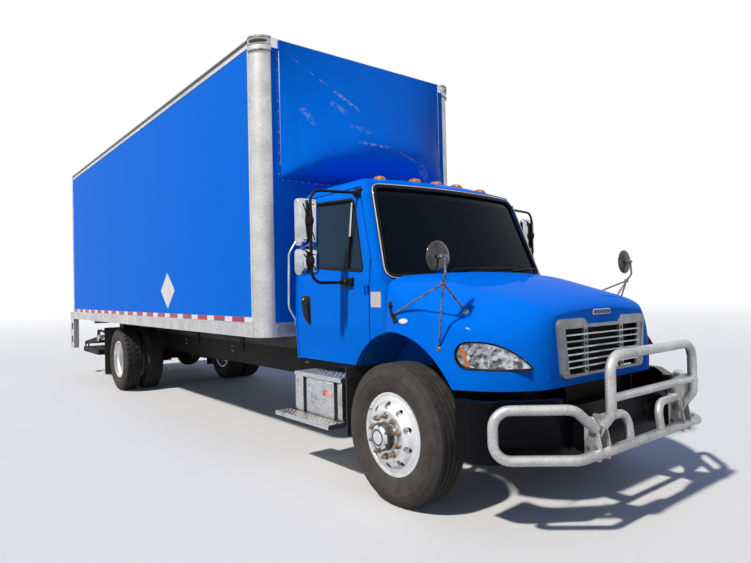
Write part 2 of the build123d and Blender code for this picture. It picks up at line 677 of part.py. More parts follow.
def make_hood():
    outer = hood_solid(0)
    inner = hood_solid(HOOD_WALL)
    rear_room = block(-1200, 1200, HOOD_FRONT + HOOD_WALL, HOOD_REAR + 60, 700, 1800)
    hood = outer - (inner & rear_room)
    well = cross_rod(-1400, 1400, ARCH_Y, ARCH_Z, ARCH_RADIUS)
    lip = cross_rod(-1200, 1200, ARCH_Y, ARCH_Z, ARCH_RADIUS + ARCH_LIP) & (hood_solid(-6) - hood_solid(6))
    lip = lip & block(-1200, 1200, -650, HOOD_REAR, HOOD_BOTTOM, 1300)
    hood += lip - block(-900, 900, -700, HOOD_REAR + 1, 800, 1400)
    hood -= well
    hood -= prism_y(grille_opening(12), HOOD_FRONT - 60, HOOD_FRONT + HOOD_WALL + 60)
    lamp = lamp_prism(0) & (hood_solid(0) - hood_solid(70))
    for hole in both(lamp_prism(SEAT)):
        hood -= hole
    for side in (-1, 1):
        x = side * (RAIL_OUT_X + 30)
        lug = block(x - 10, x + 10, HOOD_PIVOT_Y - 24, HOOD_PIVOT_Y + 22, HOOD_PIVOT_Z - 22, HOOD_BOTTOM + 40)
        lug -= cross_rod(x - 20, x + 20, HOOD_PIVOT_Y, HOOD_PIVOT_Z, 12 + PIN_FIT)
        hood += lug
    node("hood", hood)
    node("headlamps", both(lamp))


def make_grille():
    back = HOOD_FRONT - SEAT
    front = back - GRILLE_DEPTH
    frame = prism_y(grille_face(0), front, back)
    recess = prism_y(grille_face(GRILLE_RIM), front - 1, front + 8)
    frame -= recess & block(-700, 700, front - 1, back, GRILLE_BOTTOM, GRILLE_TOP - GRILLE_HEADER)
    frame -= prism_y(grille_opening(0), front - 1, back + 1)
    frame -= prism_y(grille_notch(), front - 1, back + 1)
    low = GRILLE_BOTTOM + GRILLE_SILL
    pitch = (GRILLE_TOP - GRILLE_HEADER - low) / (GRILLE_BARS + 1)
    half = GRILLE_BAR_HEIGHT / 2
    bars = None
    for number in range(1, GRILLE_BARS + 1):
        z = low + pitch * number
        bar = block(-600, 600, front + 3, back, z - half, z + half)
        bars = bar if bars is None else bars + bar
    for x in (-GRILLE_COLUMN_X, GRILLE_COLUMN_X):
        column = block(x - GRILLE_COLUMN / 2, x + GRILLE_COLUMN / 2, front + 7, back, GRILLE_BOTTOM, GRILLE_TOP)
        for number in range(GRILLE_BARS + 1):
            z = low + pitch * (number + 0.5)
            column -= block(x - 14, x + 14, front, back + 1, z - 9, z + 9)
        bars += column
    node("grille", frame + (bars & prism_y(grille_opening(2), front, back)))


FOOT_REACH = 40       # the struts run on to the hood's skin


def make_hood_mirrors():
    disc = (-1165, -558, 1743)
    apex = (-1146, -540, 1573)
    feet = ((-1080, -419, 1162), (-905, -520, 1362), (-1078, 90, 1339))
    head = rod((disc[0], disc[1] + 24, disc[2]), (disc[0], disc[1] + 46, disc[2]), 105)
    stem = rod(apex, (disc[0], disc[1] + 40, disc[2]), 8)
    arms = head + stem + Pos(*apex) * Sphere(13)
    for foot in feet:
        end = Vector(*foot)
        arms += rod(apex, end + (end - Vector(*apex)).normalized() * FOOT_REACH, 7)
    arms = arms - hood_solid(-SEAT)
    node("hood_mirrors", both(arms))


# Cab sections from the floor up:
# z, half width, corner y, middle y, rear y
CAB_LOWER = (
    (CAB_FLOOR, 1035, CAB_FRONT, CAB_FRONT - 2, CAB_REAR),
    (1250, 1055, CAB_FRONT, CAB_FRONT - 2, CAB_REAR),
    (CAB_BELT, 1047, CAB_FRONT, CAB_FRONT - 2, CAB_REAR),
)
CAB_UPPER = (
    (CAB_BELT, 1047, 240, 162, CAB_REAR),
    (2330, 965, 500, 400, CAB_REAR - 20),
    (2440, 925, 565, 460, CAB_REAR - 50),
    (2495, 800, 700, 590, CAB_REAR - 180),
)


def cab_face(section, inset, z):
    height, half, corner, middle, rear = section
    half -= inset
    corner += inset
    middle += inset
    rear -= inset
    turn = CAB_CORNER - inset
    cut = turn * (1 - math.sqrt(0.5))
    edges = [
        ThreePointArc((-half + turn, corner), (0, middle), (half - turn, corner)),
        ThreePointArc((half - turn, corner), (half - cut, corner + cut), (half, corner + turn)),
        Line((half, corner + turn), (half, rear - turn)),
        ThreePointArc((half, rear - turn), (half - cut, rear - cut), (half - turn, rear)),
        Line((half - turn, rear), (-half + turn, rear)),
        ThreePointArc((-half + turn, rear), (-half + cut, rear - cut), (-half, rear - turn)),
        Line((-half, rear - turn), (-half, corner + turn)),
        ThreePointArc((-half, corner + turn), (-half + cut, corner + cut), (-half + turn, corner)),
    ]
    return Pos(0, 0, z) * make_face(edges)


def cab_solid(inset, lower=True, upper=True):
    shape = None
    if lower:
        faces = []
        for section in CAB_LOWER:
            z = section[0] + (inset if section[0] == CAB_FLOOR else 0)
            faces.append(cab_face(section, inset, z))
        shape = loft(faces, ruled=True)
    if upper:
        faces = []
        for section in CAB_UPPER:
            z = section[0] - (inset if section[0] > CAB_BELT else 0)
            faces.append(cab_face(section, inset, z))
        top = loft(faces, ruled=True)
        shape = top if shape is None else shape + top
    return shape


def door_outline(grow):
    return [
        (DOOR_FRONT - grow, CAB_FLOOR + 10 - grow), (DOOR_REAR + grow, CAB_FLOOR + 10 - grow),
        (DOOR_REAR + grow, DOOR_TOP + grow), (592 - grow, DOOR_TOP + grow), (DOOR_FRONT - grow, 1780),
    ]


def window_face(grow):
    points = [
        (455 - grow, 1690 - grow), (1350 + grow, 1765 - grow), (1350 + grow, 2335 + grow), (650 - grow, 2292 + grow),
    ]
    return fillet(make_face(Polyline(*points, close=True)).vertices(), 40)


def side_prism(face, x0, x1):
    """Face drawn in Y and Z, run along X."""
    return extrude(Plane(origin=(x0, 0, 0), x_dir=(0, 1, 0), z_dir=(1, 0, 0)) * face, x1 - x0)


def windshield_face(grow):
    points = [(-965 - grow, 1642 - grow), (965 + grow, 1642 - grow), (872 + grow, 2400 + grow), (-872 - grow, 2400 + grow)]
    face = make_face(Polyline(*points, close=True))
    return fillet(face.vertices(), 85)


def cab_liner(outer):
    """Skins that close the wheel arches under the cab."""
    liner = None
    for side in (-1, 1):
        near = side * (LINER_X - LINER_WALL)
        far = side * 1100
        skin = cross_rod(near, far, ARCH_Y, ARCH_Z, ARCH_RADIUS + LINER_WALL)
        skin -= cross_rod(side * LINER_X, side * 1101, ARCH_Y, ARCH_Z, ARCH_RADIUS)
        liner = skin if liner is None else liner + skin
    return liner & outer


def door_hinges():
    """Arms of the right door's two hinges with their pins, which the cab carries."""
    arms = None
    for level in HINGE_LEVELS:
        low = level - HINGE_HALF
        high = level + HINGE_HALF
        inner = -SILL_X - 5
        arm = rod((-HINGE_X, HINGE_Y, low), (-HINGE_X, HINGE_Y, high), HINGE_BARREL)
        arm += rod((-HINGE_X, HINGE_Y, low - 14), (-HINGE_X, HINGE_Y, high + 14), HINGE_PIN)
        arm += block(-HINGE_X, inner, HINGE_Y - 8, HINGE_Y + 8, low, high)
        arm += block(inner - 6, inner + 10, DOOR_FRONT - 60, HINGE_Y + 8, low, high)
        arm += block(-1022, inner + 10, DOOR_FRONT - 60, DOOR_FRONT - PANEL_GAP - 6, low, high)
        arms = arm if arms is None else arms + arm
    return arms


def hinge_pockets():
    """Room in the right door for its hinges, with the bores of the pins."""
    pockets = None
    for level in HINGE_LEVELS:
        low = level - HINGE_HALF - 5
        high = level + HINGE_HALF + 5
        pocket = block(-HINGE_X - 14, -SILL_X + 20, DOOR_FRONT - 1, HINGE_Y + 20, low, high)
        pocket += rod((-HINGE_X, HINGE_Y, low - 14), (-HINGE_X, HINGE_Y, high + 14), HINGE_PIN + PIN_FIT)
        pockets = pocket if pockets is None else pockets + pocket
    return pockets


def make_cab():
    outer = cab_solid(0)
    inner = cab_solid(CAB_WALL)
    wells = cross_rod(-1400, -LINER_X, ARCH_Y, ARCH_Z, ARCH_RADIUS)
    wells += cross_rod(LINER_X, 1400, ARCH_Y, ARCH_Z, ARCH_RADIUS)
    panel = (outer - inner) - wells
    rear_window = block(-520, 520, CAB_REAR - 200, CAB_REAR + 10, 1760, 2220)
    shell = panel + cab_liner(outer)
    middle = block(-SILL_X, SILL_X, CAB_FRONT, CAB_REAR, CAB_FLOOR - 20, ARCH_Z + ARCH_RADIUS + LINER_WALL + 5)
    for x0, x1 in ((-1200, -DOOR_DEPTH_X), (DOOR_DEPTH_X, 1200)):
        shell -= prism_x(door_outline(PANEL_GAP), x0, x1) - middle
    shell -= prism_y(windshield_face(0), 60, 640)
    shell -= rear_window
    for arms in both(door_hinges()):
        shell += arms
    for y in (700, 1300):
        for foot in both(block(RAIL_OUT_X - RAIL_FLANGE, RAIL_OUT_X, y, y + 60, RAIL_TOP + SEAT, CAB_FLOOR + 5)):
            shell += foot
    node("cab_shell", shell)
    glass = (cab_solid(12, lower=False) - cab_solid(18, lower=False)) & prism_y(windshield_face(-SEAT), 60, 640)
    back_glass = block(-520 + SEAT, 520 - SEAT, CAB_REAR - 38, CAB_REAR - 32, 1760 + SEAT, 2220 - SEAT)
    node("windshield", glass)
    node("rear_window", back_glass)

    door = panel & prism_x(door_outline(0), -1200, -DOOR_DEPTH_X)
    door -= block(-SILL_X - 8, -700, DOOR_FRONT - 10, DOOR_REAR + 10, CAB_FLOOR, CAB_FLOOR + CAB_WALL + 2)
    door -= side_prism(window_face(0), -1200, -500)
    bevel = make_face(Polyline(
        (-1038, DOOR_FRONT - 1), (-960, DOOR_FRONT - 1), (-960, DOOR_FRONT + 26), (-1012, DOOR_FRONT + 26), close=True))
    door -= extrude(Pos(0, 0, CAB_FLOOR) * bevel, 1780 - CAB_FLOOR)
    door -= hinge_pockets()
    pane = (cab_solid(18, lower=False) - cab_solid(23, lower=False)) & side_prism(window_face(-SEAT), -1200, -500)
    for name, shape in (("door", door), ("door_glass", pane)):
        node(name + "_right", shape)
        node(name + "_left", mirror(shape, about=Plane.YZ))


def make_cab_parts():
    dash = prism_x([(190, 1350), (420, 1330), (520, 1440), (500, 1560), (300, 1600), (190, 1600)], -960, 960)
    dash -= cab_solid(-1) - cab_solid(CAB_WALL + SEAT)
    centre = Vector(500, 632, 1612)
    axis = Vector(0, 170, 145).normalized()
    column = rod(centre - axis * 260, centre - axis * (28 + SEAT), 32)
    node("dashboard", dash + column)
    seat = block(-250, 250, 900, 1330, 1230, 1360)
    seat += prism_x([(1290, 1300), (1400, 1300), (1460, 1950), (1370, 1950)], -240, 240)
    seat += block(-160, 160, 950, 1300, CAB_FLOOR + CAB_WALL + SEAT, 1232)
    node("seats", Pos(500, 0, 0) * seat, Pos(-500, 0, 0) * seat)
    plane = Plane(origin=centre, z_dir=axis)
    wheel = plane * Torus(215, 13)
    hub = extrude(Plane(origin=centre - axis * 28, z_dir=axis) * Circle(45), 34)
    wheel += hub
    for angle in (0, 120, 240):
        wheel += (plane * Rot(Z=angle + 90)) * Pos(107, 0, -4) * Box(214, 26, 12)
    node("steering_wheel", wheel)
    lamps = []
    for x, y, z in ((-645, 700, 2480), (-269, 665, 2490), (0, 660, 2490), (269, 665, 2490), (645, 700, 2480)):
        lamps.append(block(x - 38, x + 38, y - 26, y + 40, z, z + 30))
    solid = cab_solid(-SEAT)
    node("roof_lamps", [lamp - solid for lamp in lamps])


def make_mirrors():
    arm_x = -1397
    y = 640
    arm = bent_tube([(-940, 590, 2338), (arm_x, y, 2330), (arm_x, y, 1606), (-1020, 655, 1606)], 60, 12)
    arm += block(-1085, -1020, 625, 690, 1576, 1640)
    arm += block(-992, -940, 562, 618, 2312, 2362)
    arm += block(arm_x - 100, arm_x + 100, y + 22, y + 74, 1892, 2272)
    arm += block(arm_x - 103, arm_x + 103, y + 22, y + 80, 1667, 1877)
    for z in (2080, 1772):
        arm += block(arm_x - 14, arm_x + 14, y - 5, y + 24, z - 20, z + 20)
    arm -= cab_solid(-SEAT)
    node("mirror_right", arm)
    node("mirror_left", mirror(arm, about=Plane.YZ))
    rail = bent_tube(
        [(-980, 1455, 2100), (-1106, 1480, 1895), (-1118, 1480, 1400), (-1000, 1490, 1215)], 110, 13)
    rail -= cab_solid(-SEAT)
    node("grab_handles", both(rail))


def make_steps():
    tank = block(-1100, -RAIL_OUT_X - 80, 690, 1420, 462, 798)
    tank = fillet(tank.edges().filter_by(Axis.Y), 40)
    tank += block(-RAIL_OUT_X - 82, -RAIL_OUT_X - SEAT, 760, 820, 650, 780)
    tank += block(-RAIL_OUT_X - 82, -RAIL_OUT_X - SEAT, 1280, 1340, 650, 780)
    upper = block(-1140, -900, 648, 1365, 797, 832)
    lower = block(-1240, -1000, 690, 1550, 430, 467)
    upper_strap = block(-1102, -1090, 760, 800, 440, 800)
    lower_strap = block(-1102, -1090, 1240, 1280, 440, 800)
    step = tank + upper + lower + upper_strap + lower_strap
    node("step_tanks", both(step))
    flap = block(-1110, -560, 610, 622, 372, 925)
    flap += block(-1000, -940, 621, 690 - SEAT, 560, 600)
    node("splash_flaps", both(flap))


# Van body


def make_box():
    y0 = BOX_FRONT
    y1 = BOX_REAR
    half = BOX_HALF
    wall = BOX_WALL
    inner_rear = y1 - REAR_FRAME_DEPTH
    floor = block(-half + wall + SEAT, half - wall - SEAT, y0 + wall + SEAT, inner_rear - SEAT,
                  FLOOR_TOP - FLOOR_THICKNESS, FLOOR_TOP)
    sill_top = FLOOR_TOP - FLOOR_THICKNESS
    count = 16
    pitch = (inner_rear - y0 - 400) / (count - 1)
    for number in range(count):
        y = y0 + 200 + pitch * number
        floor += block(-half + wall + SEAT, half - wall - SEAT, y - 25, y + 25, sill_top - 105, sill_top + 1)
    for side in (-1, 1):
        x = side * (RAIL_OUT_X - 38)
        floor += block(x - 38, x + 38, y0 + 60, inner_rear - 60, RAIL_TOP + SEAT, sill_top - 100)
    corner = (-half + POST_RADIUS, y0 + POST_RADIUS)
    clear = block(-half - 1, corner[0], y0 - 1, corner[1], BOX_BOTTOM - 200, BOX_TOP + 10)
    clear -= Pos(corner[0], corner[1], BOX_BOTTOM - 201) * Cylinder(
        POST_RADIUS - wall - SEAT, BOX_TOP, align=(Align.CENTER, Align.CENTER, Align.MIN))
    for cut in both(clear):
        floor -= cut
    node("box_floor", floor)
    side_wall = block(-half, -half + wall, y0 + POST_RADIUS, inner_rear - SEAT, BOX_BOTTOM + LOW_RAIL, BOX_TOP - TOP_RAIL)
    node("box_sides", both(side_wall))
    front = block(-half + POST_RADIUS, half - POST_RADIUS, y0, y0 + wall, BOX_BOTTOM, BOX_TOP - TOP_RAIL)
    node("box_front", front)
    roof = block(-half + wall + SEAT, half - wall - SEAT, y0 + wall + SEAT, inner_rear - SEAT,
                 BOX_TOP - 45, BOX_TOP - 8)
    for cut in both(clear):
        roof -= cut
    node("box_roof", roof)
    low = block(-half - 4, -half + wall, y0 + POST_RADIUS + SEAT, y1, BOX_BOTTOM, BOX_BOTTOM + LOW_RAIL - SEAT)
    low -= block(-half + 2, -half + wall + 1, y0, y1 + 1, BOX_BOTTOM + 12, BOX_BOTTOM + 60)
    high = block(-half - 4, -half + wall, y0 + POST_RADIUS + SEAT, inner_rear - SEAT, BOX_TOP - TOP_RAIL + SEAT, BOX_TOP)
    front_high = block(-half + POST_RADIUS + SEAT, half - POST_RADIUS - SEAT, y0, y0 + wall,
                       BOX_TOP - TOP_RAIL + SEAT, BOX_TOP)
    node("lower_rails", both(low - block(-half - 5, -half + wall + 1, inner_rear - SEAT, y1 + 1, BOX_BOTTOM - 1, BOX_TOP)))
    node("upper_rails", both(high) + [front_high])
    height = BOX_TOP - BOX_BOTTOM
    round_post = Pos(corner[0], corner[1], BOX_BOTTOM) * Cylinder(
        POST_RADIUS, height, align=(Align.CENTER, Align.CENTER, Align.MIN))
    round_post -= Pos(corner[0], corner[1], BOX_BOTTOM - 1) * Cylinder(
        POST_RADIUS - wall, height + 2, align=(Align.CENTER, Align.CENTER, Align.MIN))
    quarter = block(-half - 1, corner[0] - SEAT, y0 - 1, corner[1] - SEAT, BOX_BOTTOM - 2, BOX_TOP + 2)
    post = round_post & quarter
    cap = Pos(corner[0], corner[1], BOX_TOP - 130) * Cylinder(
        POST_RADIUS + 10, 135, align=(Align.CENTER, Align.CENTER, Align.MIN))
    cap -= Pos(corner[0], corner[1], BOX_TOP - 131) * Cylinder(
        POST_RADIUS - 1, 137, align=(Align.CENTER, Align.CENTER, Align.MIN))
    cap = cap & block(-half - 20, corner[0] - SEAT, y0 - 20, corner[1] - SEAT, BOX_TOP - 130, BOX_TOP + 5)
    node("corner_posts", both(post + cap))

    frame = block(-half, half, inner_rear, y1, BOX_BOTTOM, BOX_TOP)
    frame -= block(-half + REAR_POST_WIDTH, half - REAR_POST_WIDTH, inner_rear - 1, y1 + 1, FLOOR_TOP, BOX_TOP - REAR_HEADER)
    node("rear_frame", frame)
    door = block(-half + REAR_POST_WIDTH + SEAT, half - REAR_POST_WIDTH - SEAT, y1 - 60, y1 - 32,
                 FLOOR_TOP + SEAT, BOX_TOP - REAR_HEADER - SEAT)
    panels = 6
    panel_height = (BOX_TOP - REAR_HEADER - FLOOR_TOP) / panels
    for number in range(1, panels):
        z = FLOOR_TOP + panel_height * number
        door -= block(-half, half, y1 - 37, y1 - 31, z - 3, z + 3)
    node("roll_door", door)


# Nosecone sections from the middle outwards: x, crest y forward of the wall, crest z
NOSE_SECTIONS = (
    (0, 430, 2990),
    (420, 400, 2965),
    (760, 280, 2870),
    (960, 140, 2760),
    (1060, 30, 2680),
)
NOSE_TOP = BOX_TOP - 13
NOSE_BOTTOM = 2630


def make_nosecone():
    faces = []
    table = [(-x, f, z) for x, f, z in reversed(NOSE_SECTIONS[1:])] + list(NOSE_SECTIONS)
    for x, forward, crest in table:
        wall = BOX_FRONT - SEAT
        tip = wall - forward
        outline = [
            (wall, NOSE_BOTTOM), (wall, NOSE_TOP), (wall - 14, NOSE_TOP), (tip, crest), (wall - 14, NOSE_BOTTOM),
        ]
        face = make_face(Polyline(*outline, close=True))
        faces.append(Plane(origin=(x, 0, 0), x_dir=(0, 1, 0), z_dir=(1, 0, 0)) * face)
    node("nosecone", loft(faces))


def make_rear_step():
    y0 = BOX_REAR + SEAT
    y1 = BOX_REAR + BUFFER_DEPTH
    half = BOX_HALF
    bed = block(-half, half, y0, y1, FLOOR_TOP - 110, FLOOR_TOP - 8)
    bed -= block(-half + 80, half - 80, y0 + 8, y1 - 8, FLOOR_TOP - 111, FLOOR_TOP - 16)
    post = block(-half, -half + 92, y0, y1, BUFFER_BOTTOM, FLOOR_TOP - 109)
    post -= block(-half + 6, -half + 93, y0 + 6, y1 - 6, BUFFER_BOTTOM - 1, FLOOR_TOP - 115)
    for z in (700, 960):
        post -= block(-half - 1, -half + 7, y0 + 70, y1 - 70, z - 60, z + 60)
    for piece in both(post):
        bed += piece
    top = FLOOR_TOP - 109
    bed += block(PLATE_MIDDLE_X - PLATE_WIDTH / 2, PLATE_MIDDLE_X + PLATE_WIDTH / 2, y1 - 8, y1, top - PLATE_HEIGHT, top)
    for across in (-1, 1):
        for level in (-1, 1):
            x = PLATE_MIDDLE_X + across * PLATE_HOLES[0] / 2
            z = top - PLATE_HEIGHT / 2 + level * PLATE_HOLES[1] / 2
            bed -= rod((x, y1 - 10, z), (x, y1 + 2, z), PLATE_HOLE_RADIUS)
    node("rear_step", bed)
    lamps = []
    for x in (-1200, -1060, 1060, 1200):
        lamps.append(rod((x, y1 + SEAT, FLOOR_TOP - 60), (x, y1 + LAMP_DEPTH, FLOOR_TOP - 60), 42))
    for x in (-900, -150, 0, 150, 900):
        lamps.append(block(x - 50, x + 50, BOX_REAR + SEAT, BOX_REAR + 16, BOX_TOP - 130, BOX_TOP - 90))
    node("tail_lamps", lamps)


def make_gate():
    x = GATE_X
    y = GATE_PIVOT_Y
    cheek_top = CYLINDER_Z - 60
    mount = block(RAIL_OUT_X + SEAT, x + 33, y - 160, y - 80, cheek_top - 70, cheek_top)
    mount += block(RAIL_OUT_X + SEAT, RAIL_OUT_X + 12, y - 200, y + 120, RAIL_BOTTOM + 40, RAIL_TOP - 10)
    outline = [
        (y - 160, cheek_top), (y - 160, 790), (y - 40, 715), (y + 32, 730), (y + 32, 800), (y - 80, cheek_top),
    ]
    for offset in (-28, 28):
        mount += prism_x(outline, x + offset - 5, x + offset + 5)
    mount += cross_rod(x - 33, x + 33, y, GATE_PIVOT_Z, 15)
    rail_x = GATE_CYLINDER_X - 50
    mount += block(rail_x - 5, rail_x + 5, CYLINDER_FRONT_Y - 30, y - 80, cheek_top - 40, CYLINDER_Z - 25)
    mount += block(rail_x - 5, rail_x + 5, CYLINDER_FRONT_Y - 30, CYLINDER_FRONT_Y + 40, CYLINDER_Z - 30, CYLINDER_Z + 25)
    mount += cross_rod(rail_x, GATE_CYLINDER_X + 18, CYLINDER_FRONT_Y, CYLINDER_Z, 12)
    node("gate_mount", both(mount))

    outline = [
        (y - 40, GATE_PIVOT_Z - 36), (GATE_EYE_Y + 30, GATE_EYE_Z - 34), (GATE_EYE_Y + 30, GATE_EYE_Z + 34),
        (LUG_Y + 60, GATE_PIVOT_Z + 36), (LUG_Y + 24, LUG_Z + 24), (LUG_Y - 24, LUG_Z + 24),
        (y - 40, GATE_PIVOT_Z + 40),
    ]
    arm = prism_x(outline, x - 14, x + 14)
    arm -= cross_rod(x - 30, x + 30, y, GATE_PIVOT_Z, 15 + PIN_FIT)
    arm -= cross_rod(x - 30, x + 30, GATE_EYE_Y, GATE_EYE_Z, 15 + PIN_FIT)
    arm += cross_rod(GATE_CYLINDER_X - 20, x, LUG_Y, LUG_Z, LUG_PIN)
    arms = cross_rod(-x, x, GATE_EYE_Y - 90, GATE_EYE_Z + 11, 30)
    for piece in both(arm):
        arms += piece
    node("gate_arms", arms)

    slab = block(-GATE_HALF, GATE_HALF, GATE_FRONT, GATE_EYE_Y - 40, GATE_BOTTOM, GATE_BOTTOM + GATE_THICKNESS)
    slab -= block(-GATE_HALF - 1, GATE_HALF + 1, GATE_FRONT + 60, GATE_EYE_Y - 100, GATE_BOTTOM + 41, GATE_BOTTOM + 49)
    outline = [
        (GATE_EYE_Y - 60, GATE_BOTTOM), (GATE_EYE_Y + 30, GATE_BOTTOM + 60), (GATE_EYE_Y + 30, GATE_EYE_Z + 30),
        (GATE_EYE_Y - 30, GATE_EYE_Z + 30), (GATE_EYE_Y - 60, GATE_BOTTOM + GATE_THICKNESS),
    ]
    lugs = cross_rod(x - 30, x + 30, GATE_EYE_Y, GATE_EYE_Z, 15)
    for offset in (-25, 25):
        lugs += prism_x(outline, x + offset - 5, x + offset + 5)
    for piece in both(lugs):
        slab += piece
    node("gate_platform", slab)

    front = Vector(GATE_CYLINDER_X, CYLINDER_FRONT_Y, CYLINDER_Z)
    back = Vector(GATE_CYLINDER_X, LUG_Y, LUG_Z)
    along = (back - front).normalized()
    barrel = rod(front + along * 20, front + along * 420, 34)
    barrel -= rod(front + along * 60, front + along * 430, 18 + PIN_FIT)
    barrel += cross_rod(front.X - 14, front.X + 14, front.Y, front.Z, 32)
    barrel -= cross_rod(front.X - 40, front.X + 40, front.Y, front.Z, 12 + PIN_FIT)
    stick = rod(front + along * 300, back - along * 16, 18)
    stick += cross_rod(back.X - 14, back.X + 14, back.Y, back.Z, 28)
    stick -= cross_rod(back.X - 40, back.X + 40, back.Y, back.Z, LUG_PIN + EYE_DRIFT)
    node("gate_barrels", both(barrel))
    node("gate_rods", both(stick))


def make_flaps():
    flap = block(-1215, -620, WHEELBASE + 700, WHEELBASE + 712, 190, 1000)
    arm = block(-700, -RAIL_OUT_X - SEAT, WHEELBASE + 712, WHEELBASE + 750, 860, 899)
    node("mud_flaps", both(flap + arm))


make_chassis()
make_front_axle()
make_rear_axle()
make_engine()
make_exhaust()
make_wheels()
make_steering()
make_bumper()
make_guard()
make_hood()
make_grille()
make_hood_mirrors()
make_cab()
make_cab_parts()
make_mirrors()
make_steps()
make_box()
make_nosecone()
make_rear_step()
make_gate()
make_flaps()

os.makedirs("parts", exist_ok=True)
for name, solids in NODES.items():
    placed = [Pos(0, -MIDDLE, 0) * solid for solid in solids]
    shape = placed[0] if len(placed) == 1 else Compound(children=placed)
    export_step(shape, "parts/" + name + ".step")
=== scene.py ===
import bpy
import json
import math
from mathutils import Matrix, Vector
from mathutils.bvhtree import BVHTree


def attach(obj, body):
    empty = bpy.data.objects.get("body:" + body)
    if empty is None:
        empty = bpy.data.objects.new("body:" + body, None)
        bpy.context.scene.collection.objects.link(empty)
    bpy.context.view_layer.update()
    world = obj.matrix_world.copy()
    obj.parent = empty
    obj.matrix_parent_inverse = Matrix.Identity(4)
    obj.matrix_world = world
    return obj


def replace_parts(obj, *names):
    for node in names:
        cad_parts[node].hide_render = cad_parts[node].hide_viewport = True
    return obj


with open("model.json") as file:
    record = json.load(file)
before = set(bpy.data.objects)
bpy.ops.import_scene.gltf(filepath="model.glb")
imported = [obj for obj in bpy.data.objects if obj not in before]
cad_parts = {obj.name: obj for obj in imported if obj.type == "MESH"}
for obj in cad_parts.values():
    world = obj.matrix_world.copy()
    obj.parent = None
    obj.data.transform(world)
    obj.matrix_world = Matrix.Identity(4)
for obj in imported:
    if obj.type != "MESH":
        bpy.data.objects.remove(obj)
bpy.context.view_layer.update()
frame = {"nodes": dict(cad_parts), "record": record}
NODES = frame["nodes"]

# Places along the truck are measured from the front axle, rearward, in metres
MIDDLE = 4.322125
CAMERA_PLACE = (-3.8231, -3.2037, 1.5302)
CAMERA_YAW = 0.6719
CAMERA_PITCH = 0.0166
CAMERA_ROLL = -0.0223
CAMERA_LENS = 27.919


def at(x, y, z):
    """A place given from the front axle, in the row frame."""
    return Vector((x, y - MIDDLE, z))


# A point inside the hood: faces that look towards it are the hood's inner side
HOOD_MIDDLE = (0.0, -0.4 - MIDDLE, 1.0)

# Materials

LOOKS = {}


